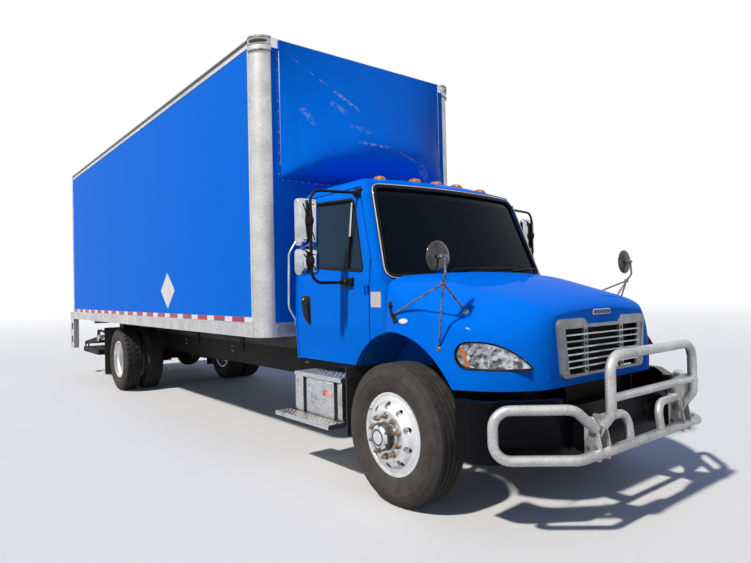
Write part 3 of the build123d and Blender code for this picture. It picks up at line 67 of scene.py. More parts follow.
class Look:
    """A node material that is put together step by step."""

    def __init__(self, name):
        self.material = bpy.data.materials.new(name)
        self.material.use_nodes = True
        self.tree = self.material.node_tree
        self.shader = self.tree.nodes["Principled BSDF"]
        self.place = self.new("ShaderNodeTexCoord").outputs["Object"]
        LOOKS[name] = self.material

    def new(self, kind, **settings):
        made = self.tree.nodes.new(kind)
        for key, value in settings.items():
            setattr(made, key, value)
        return made

    def link(self, source, target):
        self.tree.links.new(source, target)

    def stretch(self, scale):
        """The object's coordinates, scaled along each axis."""
        mapping = self.new("ShaderNodeMapping")
        mapping.inputs["Scale"].default_value = scale
        self.link(self.place, mapping.inputs["Vector"])
        return mapping.outputs["Vector"]

    def noise(self, scale, detail=3.0, stretch=None):
        """Cloudy value between 0 and 1."""
        made = self.new("ShaderNodeTexNoise")
        made.inputs["Scale"].default_value = scale
        made.inputs["Detail"].default_value = detail
        self.link(self.stretch(stretch) if stretch else self.place, made.inputs["Vector"])
        return made.outputs["Fac"]

    def cells(self, scale):
        """One random colour in each small cell."""
        made = self.new("ShaderNodeTexVoronoi")
        made.inputs["Scale"].default_value = scale
        self.link(self.place, made.inputs["Vector"])
        return made.outputs["Color"]

    def spread(self, source, low, high, out_low=0.0, out_high=1.0):
        """The source's range from low to high, spread over the range put out."""
        made = self.new("ShaderNodeMapRange")
        for name, value in (("From Min", low), ("From Max", high), ("To Min", out_low), ("To Max", out_high)):
            made.inputs[name].default_value = value
        self.link(source, made.inputs["Value"])
        return made.outputs["Result"]

    def mix(self, factor, low, high):
        """Colour between two colours or sockets."""
        made = self.new("ShaderNodeMix", data_type="RGBA")
        self.link(factor, made.inputs["Factor"])
        for socket, value in (("A", low), ("B", high)):
            target = [s for s in made.inputs if s.name == socket and s.type == "RGBA"][0]
            if isinstance(value, tuple):
                target.default_value = (*value, 1)
            else:
                self.link(value, target)
        return [s for s in made.outputs if s.type == "RGBA"][0]

    def combine(self, operation, *values):
        """Result of a Math node over numbers and sockets."""
        made = self.new("ShaderNodeMath", operation=operation)
        for socket, value in zip(made.inputs, values):
            if isinstance(value, float):
                socket.default_value = value
            else:
                self.link(value, socket)
        return made.outputs["Value"]

    def times(self, first, second):
        return self.combine("MULTIPLY", first, second)

    def vector(self, operation, first, second, output="Value"):
        """Result of a Vector Math node over a socket and a place or socket."""
        made = self.new("ShaderNodeVectorMath", operation=operation)
        self.link(first, made.inputs[0])
        if isinstance(second, tuple):
            made.inputs[1].default_value = second
        else:
            self.link(second, made.inputs[1])
        return made.outputs[output]

    def tone(self, colour):
        """Grey value of a colour."""
        made = self.new("ShaderNodeRGBToBW")
        self.link(colour, made.inputs["Color"])
        return made.outputs["Val"]

    def scuff(self, start, end, width, strength):
        """Share of rubbed paint round the line between two (x, z) places."""
        middle = (Vector(start) + Vector(end)) / 2
        run = Vector(end) - Vector(start)
        half = run.length / 2
        run.normalize()
        shares = []
        for direction, reach in ((run, half), (Vector((-run.y, run.x)), width)):
            along = self.vector("DOT_PRODUCT", self.place, (direction.x, 0.0, direction.y))
            away = self.combine("ABSOLUTE", self.combine("SUBTRACT", along, direction.dot(middle)))
            shares.append(self.spread(away, reach * 0.5, reach, 1.0, 0.0))
        worn = self.spread(self.noise(24.0, 8.0, (1.0, 1.0, 1.6)), 0.45, 0.6, 0.0, strength)
        return self.times(self.times(shares[0], shares[1]), worn)

    def height(self, axis="Z"):
        """The object's coordinate along one axis."""
        made = self.new("ShaderNodeSeparateXYZ")
        self.link(self.place, made.inputs["Vector"])
        return made.outputs[axis]

    def bump(self, source, distance, strength=1.0):
        made = self.new("ShaderNodeBump")
        made.inputs["Distance"].default_value = distance
        made.inputs["Strength"].default_value = strength
        self.link(source, made.inputs["Height"])
        self.link(made.outputs["Normal"], self.shader.inputs["Normal"])

    def colour(self, source):
        self.put("Base Color", source)

    def put(self, socket, value):
        """Gives the shader's socket a number, a colour or a link."""
        target = self.shader.inputs[socket]
        if isinstance(value, tuple):
            target.default_value = (*value, 1)
        elif isinstance(value, (int, float)):
            target.default_value = value
        else:
            self.link(value, target)


def paint_look(name, colour, dusty, roughness, coat, dirt_top=0.0, shine=0.5, dirt=(0.12, 0.1, 0.085),
               marks=()):
    """Sprayed paint with faint dust, road dirt low down and, if given, scuffs."""
    look = Look(name)
    dust = look.spread(look.noise(1.3, 2.0), 0.45, 0.75, 0.0, 0.22)
    base = look.mix(dust, colour, dusty)
    if dirt_top:
        low = look.spread(look.height(), 0.35, dirt_top, 0.75, 0.0)
        splash = look.times(low, look.spread(look.noise(9.0, 8.0), 0.35, 0.65))
        base = look.mix(splash, base, dirt)
    for start, end, width, strength in marks:
        base = look.mix(look.scuff(start, end, width, strength), base, (0.42, 0.45, 0.55))
    look.base = base
    look.colour(base)
    look.put("Roughness", look.spread(look.noise(2.0, 2.0), 0.3, 0.7, roughness - 0.03, roughness + 0.05))
    look.put("Coat Weight", coat)
    look.put("Coat Roughness", 0.05)
    look.put("Coat IOR", 1.3)
    look.put("Specular IOR Level", shine)
    look.bump(look.noise(160.0, 2.0), 0.0003, 0.12)
    return look


# Rubbed streaks, each from one (x, z) place to another, with width and strength
NOSE_MARKS = (
    ((-1.00, 3.86), (-0.50, 3.53), 0.010, 0.55), ((-0.56, 3.56), (-0.27, 3.33), 0.026, 0.55),
    ((-0.60, 3.40), (-0.44, 3.29), 0.035, 0.40), ((-0.90, 3.33), (-0.76, 3.12), 0.035, 0.40),
    ((-0.46, 3.16), (-0.20, 3.10), 0.025, 0.35), ((-0.42, 2.99), (0.02, 2.97), 0.016, 0.80),
    ((0.02, 2.97), (0.36, 2.87), 0.012, 0.80), ((0.36, 2.90), (0.62, 2.70), 0.060, 0.55),
)
HOOD_MARKS = (
    ((-0.655, 0.935), (-0.640, 0.985), 0.003, 1.0), ((-0.640, 0.985), (-0.600, 0.965), 0.003, 0.9),
)


def hood_shade_look(look):
    """Painted near-black shade on the faces that look into the hood and on its lower edge."""
    normal = look.new("ShaderNodeNewGeometry").outputs["Normal"]
    from_middle = look.vector("SUBTRACT", look.place, HOOD_MIDDLE, "Vector")
    inside = look.spread(look.vector("DOT_PRODUCT", from_middle, normal), -0.06, -0.02, 1.0, 0.0)
    under = look.spread(look.height(), 0.868, 0.871, 1.0, 0.0)
    # the near-black colour is painted shade, in place of the shadow inside the hood and under its edge
    look.colour(look.mix(look.combine("MAXIMUM", inside, under), look.base, (0.004, 0.004, 0.005)))


def reflector_look(name):
    """Faceted bright reflector of a lamp: thin bands of painted reflection, light and dark, in its colour."""
    look = Look(name)
    bands = look.noise(15.0, 5.0, (1.0, 1.0, 2.4))
    facets = look.tone(look.cells(36.0))
    both = look.combine("ADD", look.times(bands, 0.7), look.times(facets, 0.5))
    # the colour runs from dark to bright over bands and facets: painted reflections
    look.colour(look.mix(look.spread(both, 0.42, 0.78), (0.035, 0.04, 0.05), (0.80, 0.83, 0.88)))
    look.put("Metallic", 0.6)
    look.put("Roughness", 0.28)
    look.bump(bands, 0.004, 0.7)


def metal_look(name, colour, other, roughness, scale, grain=None, metallic=1.0, stain=None):
    """Bare metal with blotches, grain and, if given, a stain."""
    look = Look(name)
    blotch = look.noise(scale, 6.0, grain)
    base = look.mix(look.spread(blotch, 0.35, 0.65), colour, other)
    if stain:
        base = look.mix(look.spread(look.noise(6.0, 8.0), 0.58, 0.75, 0.0, 0.8), base, stain)
    look.colour(base)
    look.put("Metallic", metallic)
    look.put("Roughness", look.spread(blotch, 0.3, 0.7, roughness - 0.08, roughness + 0.12))
    look.bump(look.noise(scale * 6, 3.0, grain), 0.0006, 0.3)


def plain_look(name, colour, other, roughness, scale=40.0, depth=0.0005, **sockets):
    """Plastic, rubber or cloth with a fine surface."""
    look = Look(name)
    look.colour(look.mix(look.spread(look.noise(scale * 0.15, 5.0), 0.4, 0.7), colour, other))
    sheen = look.noise(scale * 0.3, 4.0)
    look.put("Roughness", look.spread(sheen, 0.3, 0.7, roughness - 0.06, roughness + 0.08))
    look.bump(look.noise(scale, 3.0), depth, 0.4)
    for socket, value in sockets.items():
        look.put(socket.replace("_", " "), value)


def spangle_look(name, light, dark, roughness):
    """Galvanised steel: crystals of uneven tone over a cloudy grey."""
    look = Look(name)
    crystals = look.times(look.tone(look.cells(95.0)), 0.30)
    cloud = look.times(look.noise(5.0, 8.0), 0.75)
    tone = look.spread(look.combine("ADD", crystals, cloud), 0.35, 0.85)
    base = look.mix(tone, dark, light)
    streak = look.noise(2.2, 8.0, (3.0, 3.0, 0.35))
    look.colour(look.mix(look.spread(streak, 0.55, 0.8, 0.0, 0.3), base, (0.24, 0.22, 0.2)))
    look.put("Metallic", 0.6)
    look.put("Roughness", look.spread(tone, 0.0, 1.0, roughness + 0.12, roughness - 0.05))
    look.bump(look.noise(120.0, 3.0), 0.0004, 0.3)


def tyre_look(name, dark, dusty):
    """Rubber with an even film of road dust, thicker in patches."""
    look = Look(name)
    dust = look.spread(look.noise(14.0, 8.0), 0.3, 0.75)
    fine = look.spread(look.noise(160.0, 3.0), 0.3, 0.7, 0.6, 1.0)
    look.colour(look.mix(look.times(dust, fine), dark, dusty))
    look.put("Roughness", look.spread(dust, 0.0, 1.0, 0.72, 0.95))
    look.put("Specular IOR Level", 0.3)
    look.bump(look.noise(220.0, 3.0), 0.0006, 0.4)


def floor_look():
    """Boards on top; the sills and the underside are coated black."""
    look = Look("floor_wood")
    grain = look.noise(8.0, 6.0, (12.0, 0.6, 1.0))
    boards = look.mix(look.spread(grain, 0.35, 0.65), (0.36, 0.22, 0.12), (0.2, 0.12, 0.065))
    coat = look.mix(look.spread(look.noise(9.0, 6.0), 0.4, 0.7), (0.010, 0.010, 0.010), (0.03, 0.027, 0.024))
    upper = look.spread(look.height(), 1.2515, 1.2522)
    look.colour(look.mix(upper, coat, boards))
    look.put("Roughness", look.spread(grain, 0.3, 0.7, 0.5, 0.75))
    look.bump(look.noise(60.0, 3.0, (12.0, 0.6, 1.0)), 0.0006, 0.3)


def make_looks():
    """All materials: paints, metals, then plastics, glass and rubber."""
    blue = ((0.0, 0.165, 0.79), (0.001, 0.175, 0.76), 0.32, 0.12, 0.0, 0.0)
    paint_look("body_paint", *blue)
    paint_look("nose_paint", *blue, marks=NOSE_MARKS)
    hood_shade_look(paint_look("hood_paint", *blue, marks=HOOD_MARKS))
    soot = (0.035, 0.032, 0.028)
    paint_look("black_paint", (0.005, 0.005, 0.006), (0.015, 0.014, 0.013), 0.5, 0.0, 0.8, 0.12, soot)
    paint_look("bumper_paint", (0.003, 0.003, 0.004), (0.005, 0.005, 0.005), 0.34, 0.10, 0.0, 0.06)
    spangle_look("galvanised", (0.80, 0.80, 0.78), (0.50, 0.50, 0.49), 0.42)
    spangle_look("guard_steel", (0.76, 0.76, 0.74), (0.44, 0.44, 0.43), 0.36)
    reflector_look("reflector")
    metal_look("bare_steel", (0.35, 0.34, 0.33), (0.2, 0.17, 0.15), 0.5, 9.0, stain=(0.16, 0.07, 0.03))
    metal_look("silver_paint", (0.34, 0.35, 0.365), (0.25, 0.26, 0.27), 0.38, 14.0, metallic=0.5)
    metal_look("cast_dark", (0.06, 0.055, 0.05), (0.11, 0.07, 0.045), 0.75, 18.0, metallic=0.3)
    metal_look("rail_alloy", (0.72, 0.73, 0.75), (0.55, 0.56, 0.58), 0.34, 7.0, (1.0, 0.1, 1.0))
    metal_look("wheel_alloy", (0.86, 0.87, 0.88), (0.74, 0.74, 0.74), 0.40, 14.0, metallic=0.75)
    metal_look("tank_alloy", (0.72, 0.73, 0.74), (0.5, 0.5, 0.5), 0.3, 12.0, (0.3, 1.0, 6.0),
               stain=(0.3, 0.25, 0.2))
    plain_look("tyre", (0.016, 0.016, 0.016), (0.06, 0.05, 0.042), 0.78, 60.0, 0.0008)
    plain_look("flap_rubber", (0.014, 0.014, 0.014), (0.05, 0.045, 0.04), 0.7, 50.0, 0.0008)
    floor_look()
    metal_look("roof_sheet", (0.7, 0.7, 0.7), (0.55, 0.55, 0.55), 0.4, 6.0)
    paint_look("door_sheet", (0.72, 0.72, 0.7), (0.5, 0.48, 0.45), 0.35, 0.3, 1.8)
    plain_look("cab_trim", (0.05, 0.05, 0.055), (0.08, 0.08, 0.085), 0.6, 220.0, 0.0004)
    plain_look("seat_cloth", (0.05, 0.052, 0.058), (0.09, 0.09, 0.1), 0.9, 400.0, 0.0008)
    plain_look("tinted_glass", (0.002, 0.012, 0.030), (0.004, 0.016, 0.034), 0.05, 6.0, 0.0,
               Transmission_Weight=0.6, IOR=1.12)
    plain_look("side_glass", (0.014, 0.045, 0.085), (0.018, 0.052, 0.094), 0.05, 6.0, 0.0,
               Transmission_Weight=0.3, IOR=1.15)
    plain_look("lamp_lens", (0.9, 0.92, 0.95), (0.8, 0.82, 0.85), 0.08, 30.0, 0.0,
               Transmission_Weight=0.9)
    plain_look("lamp_cover", (0.95, 0.97, 1.0), (0.9, 0.92, 0.95), 0.06, 30.0, 0.0,
               Transmission_Weight=1.0, IOR=1.06, Coat_Weight=1.0, Coat_Roughness=0.02)
    plain_look("amber_lens", (0.9, 0.26, 0.01), (0.7, 0.16, 0.01), 0.2, 120.0, 0.0005,
               Transmission_Weight=0.3)
    plain_look("red_lens", (0.55, 0.01, 0.01), (0.4, 0.01, 0.01), 0.2, 120.0, 0.0005,
               Transmission_Weight=0.3)
    metal_look("chrome", (0.62, 0.64, 0.67), (0.45, 0.47, 0.50), 0.12, 10.0)
    metal_look("mirror_glass", (0.85, 0.87, 0.88), (0.8, 0.82, 0.83), 0.04, 5.0)
    metal_look("lamp_silver", (0.75, 0.76, 0.78), (0.5, 0.51, 0.53), 0.22, 30.0)
    metal_look("cast_cap", (0.5, 0.5, 0.5), (0.16, 0.15, 0.14), 0.5, 22.0, metallic=0.6,
               stain=(0.12, 0.09, 0.07))
    metal_look("tread_steel", (0.72, 0.72, 0.72), (0.5, 0.49, 0.47), 0.34, 30.0, stain=(0.3, 0.25, 0.2))
    metal_look("hub_iron", (0.13, 0.13, 0.135), (0.05, 0.045, 0.04), 0.55, 24.0, metallic=0.35,
               stain=(0.26, 0.14, 0.07))
    metal_look("brass_stem", (0.55, 0.4, 0.15), (0.3, 0.2, 0.1), 0.4, 60.0)
    metal_look("dark_chrome", (0.11, 0.11, 0.11), (0.05, 0.05, 0.05), 0.16, 12.0)
    # grey with strong dark blotches: painted reflections on the black glossy mirror struts
    metal_look("strut_steel", (0.30, 0.31, 0.32), (0.03, 0.03, 0.035), 0.35, 60.0, metallic=0.6)
    metal_look("nut_steel", (0.50, 0.42, 0.33), (0.13, 0.08, 0.05), 0.5, 60.0, metallic=0.5,
               stain=(0.28, 0.13, 0.06))
    plain_look("plate_blue", (0.01, 0.03, 0.12), (0.02, 0.05, 0.18), 0.3, 90.0, 0.0002)
    plain_look("plate_beige", (0.66, 0.62, 0.50), (0.58, 0.54, 0.43), 0.45, 60.0, 0.0002)
    plain_look("dark_strip", (0.035, 0.036, 0.038), (0.06, 0.06, 0.06), 0.5, 60.0, 0.0003)
    tyre_look("tyre_side", (0.040, 0.034, 0.031), (0.105, 0.088, 0.076))
    tyre_look("tyre_tread", (0.026, 0.025, 0.025), (0.080, 0.072, 0.066))
    plain_look("black_plastic", (0.006, 0.006, 0.007), (0.016, 0.015, 0.015), 0.42, 90.0, 0.0003,
               Specular_IOR_Level=0.15)
    plain_look("seal_rubber", (0.005, 0.005, 0.005), (0.012, 0.012, 0.012), 0.5, 60.0, 0.0003,
               Specular_IOR_Level=0.12)
    plain_look("lamp_white", (0.85, 0.85, 0.83), (0.7, 0.7, 0.68), 0.25, 60.0, 0.0002)
    plain_look("placard_white", (0.82, 0.82, 0.8), (0.66, 0.65, 0.62), 0.35, 30.0, 0.0002)
    plain_look("tape_white", (0.85, 0.85, 0.85), (0.68, 0.67, 0.66), 0.3, 200.0, 0.0003)
    plain_look("tape_red", (0.42, 0.005, 0.018), (0.32, 0.008, 0.02), 0.3, 200.0, 0.0003)
    plain_look("sticker_red", (0.62, 0.02, 0.02), (0.75, 0.6, 0.55), 0.4, 80.0, 0.0002)
    plain_look("smoked_lens", (0.03, 0.018, 0.012), (0.06, 0.03, 0.02), 0.2, 90.0, 0.0002)


NODE_LOOKS = {
    "headlamps": "lamp_cover", "hood": "hood_paint",
    "gate_platform": "black_paint", "gate_arms": "black_paint",
    "door_glass_right": "side_glass", "door_glass_left": "side_glass",
}


def dress_nodes():
    """Every CAD node takes the look of its slot in the record, or the look that NODE_LOOKS gives it."""
    slots = {part["node"]: part["material_slot"] for part in frame["record"]["subparts"]}
    for name, node in NODES.items():
        material = LOOKS[NODE_LOOKS.get(name, slots[name])]
        node.data.materials.clear()
        node.data.materials.append(material)


# Building forms

OUT = (1, 0, 0)
FORWARD = (0, -1, 0)
REARWARD = (0, 1, 0)
UPWARD = (0, 0, 1)
SIDES = (-1, 1)


def stepped(start, stop, step):
    """Values one step apart, from the start to just under the stop."""
    while start < stop:
        yield start
        start += step


def circle(radius, steps):
    """Corners of a circle round the origin."""
    turns = [math.tau * i / steps for i in range(steps)]
    return [(radius * math.cos(turn), radius * math.sin(turn)) for turn in turns]


def inset(outline, distance):
    """The outline moved inwards by a distance, corner by corner."""
    area = sum(a[0] * b[1] - b[0] * a[1] for a, b in zip(outline, outline[1:] + outline[:1]))
    turn = 1 if area > 0 else -1
    moved = []
    for index, corner in enumerate(outline):
        before = Vector(corner) - Vector(outline[index - 1])
        after = Vector(outline[(index + 1) % len(outline)]) - Vector(corner)
        before.normalize()
        after.normalize()
        first = Vector((-before.y, before.x)) * turn
        second = Vector((-after.y, after.x)) * turn
        middle = first + second
        share = max(0.35, middle.length_squared / 2)
        moved.append(tuple(Vector(corner) + middle * (distance / share)))
    return moved


def rounded(outline, radius, steps=4):
    """A flat outline with its corners rounded."""
    made = []
    for index, corner in enumerate(outline):
        here = Vector(corner)
        before = Vector(outline[index - 1]) - here
        after = Vector(outline[(index + 1) % len(outline)]) - here
        reach = min(radius, before.length * 0.49, after.length * 0.49)
        start = here + before.normalized() * reach
        end = here + after.normalized() * reach
        for step in range(steps + 1):
            t = step / steps
            made.append(tuple(start * (1 - t) ** 2 + here * 2 * t * (1 - t) + end * t ** 2))
    return made


def oval(width, height, steps=24):
    """Corners of an ellipse round the origin."""
    return [(width / 2 * x, height / 2 * y) for x, y in circle(1.0, steps)]


def panel(width, height, radius=0.0, steps=4):
    """A rectangle round the origin, its corners rounded by the radius."""
    x = width / 2
    y = height / 2
    corners = [(-x, -y), (x, -y), (x, y), (-x, y)]
    return rounded(corners, radius, steps) if radius else corners


def facing(place, out, up=(0, 0, 1)):
    """A frame at a place with its Z pointing out and its Y near up."""
    z = Vector(out).normalized()
    x = Vector(up).cross(z)
    if x.length < 1e-6:
        x = Vector((0, 1, 0)).cross(z)
    x.normalize()
    y = z.cross(x)
    frame_matrix = Matrix((x, y, z)).transposed().to_4x4()
    return Matrix.Translation(Vector(place)) @ frame_matrix


# Half the angle from which a bend counts as straight
NEARLY_STRAIGHT = math.radians(89)


class Form:
    """Corners and faces of one piece, gathered from simple forms."""

    def __init__(self):
        self.verts = []
        self.faces = []
        self.looks = []
        self.look = 0

    def add(self, verts, faces, place=None):
        start = len(self.verts)
        for vert in verts:
            self.verts.append(place @ Vector(vert) if place else Vector(vert))
        for face in faces:
            self.faces.append(tuple(start + corner for corner in face))
            self.looks.append(self.look)
        return self

    def rings(self, rings, place=None, closed=True, ends=True, loop=False):
        """Skin over rings that all have the same number of corners."""
        count = len(rings[0])
        verts = [vert for ring in rings for vert in ring]
        faces = []
        spans = len(rings) if loop else len(rings) - 1
        for row in range(spans):
            low = row * count
            high = (row + 1) % len(rings) * count
            for i in range(count if closed else count - 1):
                j = (i + 1) % count
                faces.append((low + i, low + j, high + j, high + i))
        if ends and not loop:
            faces.append(tuple(reversed(range(count))))
            faces.append(tuple(range(len(verts) - count, len(verts))))
        return self.add(verts, faces, place)

    def slab(self, outline, low, high, bevel=0.0, place=None):
        """Outline in X and Y, run along Z, with chamfered rims."""
        rings = [(outline, low), (outline, high)]
        if bevel:
            small = inset(outline, bevel)
            rings = [(small, low), (outline, low + bevel), (outline, high - bevel), (small, high)]
        return self.rings([[(x, y, z) for x, y in ring] for ring, z in rings], place)

    def block(self, x0, x1, y0, y1, z0, z1, bevel=0.002):
        """Chamfered block between two corners; x0 and x1 in either order."""
        x0, x1 = sorted((x0, x1))
        outline = [(x0, y0), (x1, y0), (x1, y1), (x0, y1)]
        if bevel:
            cut = []
            for index, corner in enumerate(outline):
                for other in (outline[index - 1], outline[(index + 1) % 4]):
                    step = (Vector(other) - Vector(corner)).normalized() * bevel
                    cut.append(tuple(Vector(corner) + step))
            outline = cut
        return self.slab(outline, z0, z1, bevel)

    def lathe(self, profile, place=None, steps=24, full=True):
        """(along, radius) points turned round the local Z axis."""
        rings = [[(x, y, along) for x, y in circle(radius, steps)] for along, radius in profile]
        return self.rings(rings, place, ends=full)

    def tube(self, path, radius, steps=10, bend=0.0, place=None, arc=5):
        """Round bar along a path whose corners are rounded by arcs."""
        points = [Vector(point) for point in path]
        if bend:
            made = [points[0]]
            for before, here, after in zip(points, points[1:], points[2:]):
                into = before - here
                out = after - here
                half = into.angle(out) / 2
                if half > NEARLY_STRAIGHT:
                    made.append(here)
                    continue
                reach = min(bend / math.tan(half), into.length * 0.49, out.length * 0.49)
                middle = here + (into.normalized() + out.normalized()).normalized() * (reach / math.cos(half))
                start = here + into.normalized() * reach - middle
                end = here + out.normalized() * reach - middle
                for step in range(arc + 1):
                    made.append(middle + start.slerp(end, step / arc).normalized() * start.length)
            points = made + [points[-1]]
        heading = (points[1] - points[0]).normalized()
        side = heading.orthogonal().normalized()
        rings = []
        for index, point in enumerate(points):
            ahead = points[min(index + 1, len(points) - 1)] - points[max(index - 1, 0)]
            ahead.normalize()
            side = (side - ahead * side.dot(ahead)).normalized()
            other = ahead.cross(side)
            rings.append([point + (side * a + other * b) * radius for a, b in circle(1.0, steps)])
        return self.rings(rings, place)

    def rivet(self, place, out, radius=0.006, rise=0.003, steps=8):
        """Low round head."""
        profile = [(0, radius), (rise * 0.6, radius * 0.8), (rise, radius * 0.35)]
        return self.lathe(profile, facing(place, out), steps)

    def bolt(self, place, out, size=0.012, rise=0.01):
        """Hexagon head on a washer."""
        spot = facing(place, out)
        self.lathe([(0, size * 1.35), (0.002, size * 1.35)], spot, 14)
        return self.slab(circle(size, 6), 0.0015, rise, min(0.0015, size * 0.12), spot)


def put(name, form, look, body="chassis_body", smooth=35, mirrored=False):
    """The form becomes a piece that rides on a body."""
    looks = look if isinstance(look, (list, tuple)) else [look]
    mesh = bpy.data.meshes.new(name)
    verts = [(-v.x if mirrored else v.x, v.y - MIDDLE, v.z) for v in form.verts]
    faces = [tuple(reversed(face)) for face in form.faces] if mirrored else form.faces
    mesh.from_pydata(verts, [], faces)
    for one in looks:
        mesh.materials.append(LOOKS[one])
    mesh.polygons.foreach_set("material_index", form.looks)
    mesh.update()
    piece = bpy.data.objects.new(name, mesh)
    bpy.context.scene.collection.objects.link(piece)
    if smooth:
        mesh.polygons.foreach_set("use_smooth", [True] * len(mesh.polygons))
        mesh.set_sharp_from_angle(angle=math.radians(smooth))
    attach(piece, body)
    return piece


def put_pair(name, form, look, body="chassis_body", smooth=35):
    """A piece on the truck's left side and its mirror image on the right."""
    left = put(name + "_left", form, look, body.replace("SIDE", "left"), smooth)
    right = put(name + "_right", form, look, body.replace("SIDE", "right"), smooth, True)
    return left, right


def replace_pair(pair, node):
    """The left and right pieces stand for a CAD node, or for one on each side."""
    for piece, side in zip(pair, ("left", "right")):
        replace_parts(piece, node.replace("SIDE", side))


# Wheels

TYRE = 0.507
FRONT_TYRE_X = 1.045
REAR_TYRE_X = 1.06
REAR_AXLE_Y = 6.96
# From the middle of a tyre to the face where its wheel is bolted on
DISC_REACH = 0.1665
TWIN_GAP = 0.0003
NUT_CIRCLE = 0.14288
STEER_GROOVES = (-0.066, -0.022, 0.022, 0.066)
DRIVE_GROOVES = (-0.06, 0.0, 0.06)
TYRE_SIDE = {
    "side": (
        (-0.1047, 0.2866), (-0.1047, 0.2984), (-0.113, 0.306), (-0.121, 0.316), (-0.1255, 0.328),
        (-0.1295, 0.331), (-0.1335, 0.345), (-0.1345, 0.3485), (-0.137, 0.352), (-0.1405, 0.375),
        (-0.1425, 0.398), (-0.1415, 0.418), (-0.1425, 0.4205), (-0.1375, 0.436), (-0.1325, 0.45),
        (-0.1315, 0.4545), (-0.1265, 0.462),
    ),
    "shoulder": ((-0.122, 0.474), (-0.117, 0.485), (-0.112, 0.495)),
    "rib": ((-0.1045, 0.5025), (-0.1, 0.5035)),
}


def tyre_profile(grooves, depth):
    """(x, radius, kind) from one bead over the tread to the other."""
    side = [(x, radius, kind) for kind, corners in TYRE_SIDE.items() for x, radius in corners]
    crown = []
    for middle in grooves:
        drop = 0.0035 * abs(middle) / 0.1
        crown += [
            (middle - 0.0065, TYRE - drop, "edge"), (middle - 0.004, TYRE - depth, "deep"),
            (middle + 0.004, TYRE - depth, "deep"), (middle + 0.0065, TYRE - drop, "edge"),
        ]
    other = [(-x, radius, kind) for x, radius, kind in reversed(side)]
    return side + crown + other


def notch(kind, x, number, drive, grooves):
    """How far a tread corner is moved inwards and sideways by its sipe."""
    if drive:
        stagger = 2 if abs(x) < 0.035 else 0
        if kind in ("edge", "rib") and (number + stagger) % 5 == 0:
            return 0.013, 0.0
        if kind == "shoulder" and number % 5 == 0:
            return 0.011, 0.0
    elif kind == "edge" and number % 3 == 0:
        nearest = min(grooves, key=lambda groove: abs(groove - x))
        return 0.0, -0.002 if x - nearest < 0 else 0.002
    elif kind == "shoulder" and number % 2 == 0:
        return 0.0015, 0.0
    return 0.0, 0.0


def tyre_form(middle_x, y, drive):
    """A tyre with grooves and sipes; drive tyres have deeper blocks."""
    grooves = DRIVE_GROOVES if drive else STEER_GROOVES
    profile = tyre_profile(grooves, 0.016 if drive else 0.011)
    count = len(profile)
    steps = 180 if drive else 144
    form = Form()
    for number in range(steps):
        angle = math.tau * number / steps
        for x, radius, kind in profile:
            drop, shift = notch(kind, x, number, drive, grooves)
            radius -= drop
            form.verts.append(Vector((
                middle_x + x + shift, y + radius * math.sin(angle), TYRE + radius * math.cos(angle),
            )))
        low = number * count
        high = (number + 1) % steps * count
        for j in range(count - 1):
            form.looks.append(0 if profile[j][2] == "side" and profile[j + 1][2] == "side" else 1)
            form.faces.append((low + j, high + j, high + j + 1, low + j + 1))
    return form


def round_axle(x, y, radius, count, turned=0.0):
    """Places spread evenly round the axis of a wheel."""
    for number in range(count):
        angle = math.tau * (number + turned) / count
        yield (x, y + radius * math.sin(angle), TYRE + radius * math.cos(angle))


def wheel_nuts(face_x, y, turned=0.0):
    """Ten flange nuts on studs round the hub."""
    form = Form()
    for place in round_axle(face_x, y, NUT_CIRCLE, 10, turned):
        spot = facing(place, OUT)
        form.lathe([(0, 0.0245), (0.004, 0.0245), (0.007, 0.0195)], spot, 18)
        form.slab(circle(0.019, 6), 0.005, 0.031, 0.002, spot)
        form.lathe([(0.028, 0.0105), (0.043, 0.0105), (0.0455, 0.0085)], spot, 12)
    return form


def front_wheel_details():
    body = "front_wheel_SIDE_body"
    face = FRONT_TYRE_X + DISC_REACH
    axis = facing((face, 0, TYRE), OUT)
    tread = tyre_form(FRONT_TYRE_X, 0.0, False)
    tyres = put_pair("front_tyre_tread", tread, ["tyre_side", "tyre_tread"], body, 28)
    replace_pair(tyres, "front_tyre_SIDE")
    put_pair("front_wheel_nuts", wheel_nuts(face + 0.0005, 0.0), "nut_steel", body)
    drum = Form().lathe([(-0.050, 0.172), (-0.050, 0.235)], axis, 40, False)
    put_pair("front_drum_face", drum, "black_paint", body, 0)
    bowl = [(-0.0470, 0.2370), (-0.0490, 0.250), (-0.0540, 0.266), (-0.0585, 0.276), (-0.0610, 0.2810)]
    put_pair("front_wheel_dish", Form().lathe(bowl, axis, 64, False), "wheel_alloy", body, 50)
    hub = Form()
    hub_x = face + 0.0085
    spot = facing((hub_x, 0, TYRE), OUT)
    hub.lathe([(0, 0.1), (0.004, 0.1), (0.008, 0.097), (0.03, 0.09), (0.034, 0.1), (0.046, 0.1),
               (0.05, 0.096), (0.05, 0.06)], spot, 40)
    hub.lathe([(0.048, 0.066), (0.066, 0.064), (0.07, 0.06), (0.07, 0.046), (0.0665, 0.044),
               (0.0665, 0.012), (0.069, 0.01), (0.069, 0.002)], spot, 36)
    for place in round_axle(hub_x + 0.05, 0.0, 0.083, 6):
        hub.bolt(place, OUT, 0.008, 0.009)
    put_pair("front_hub_cap", hub, "hub_iron", body)
    stem = [(face - 0.012, 0.165, TYRE + 0.165), (face + 0.012, 0.168, TYRE + 0.168),
            (face + 0.02, 0.158, TYRE + 0.158)]
    put_pair("front_valve", Form().tube(stem, 0.0045, 8, 0.01), "brass_stem", body)


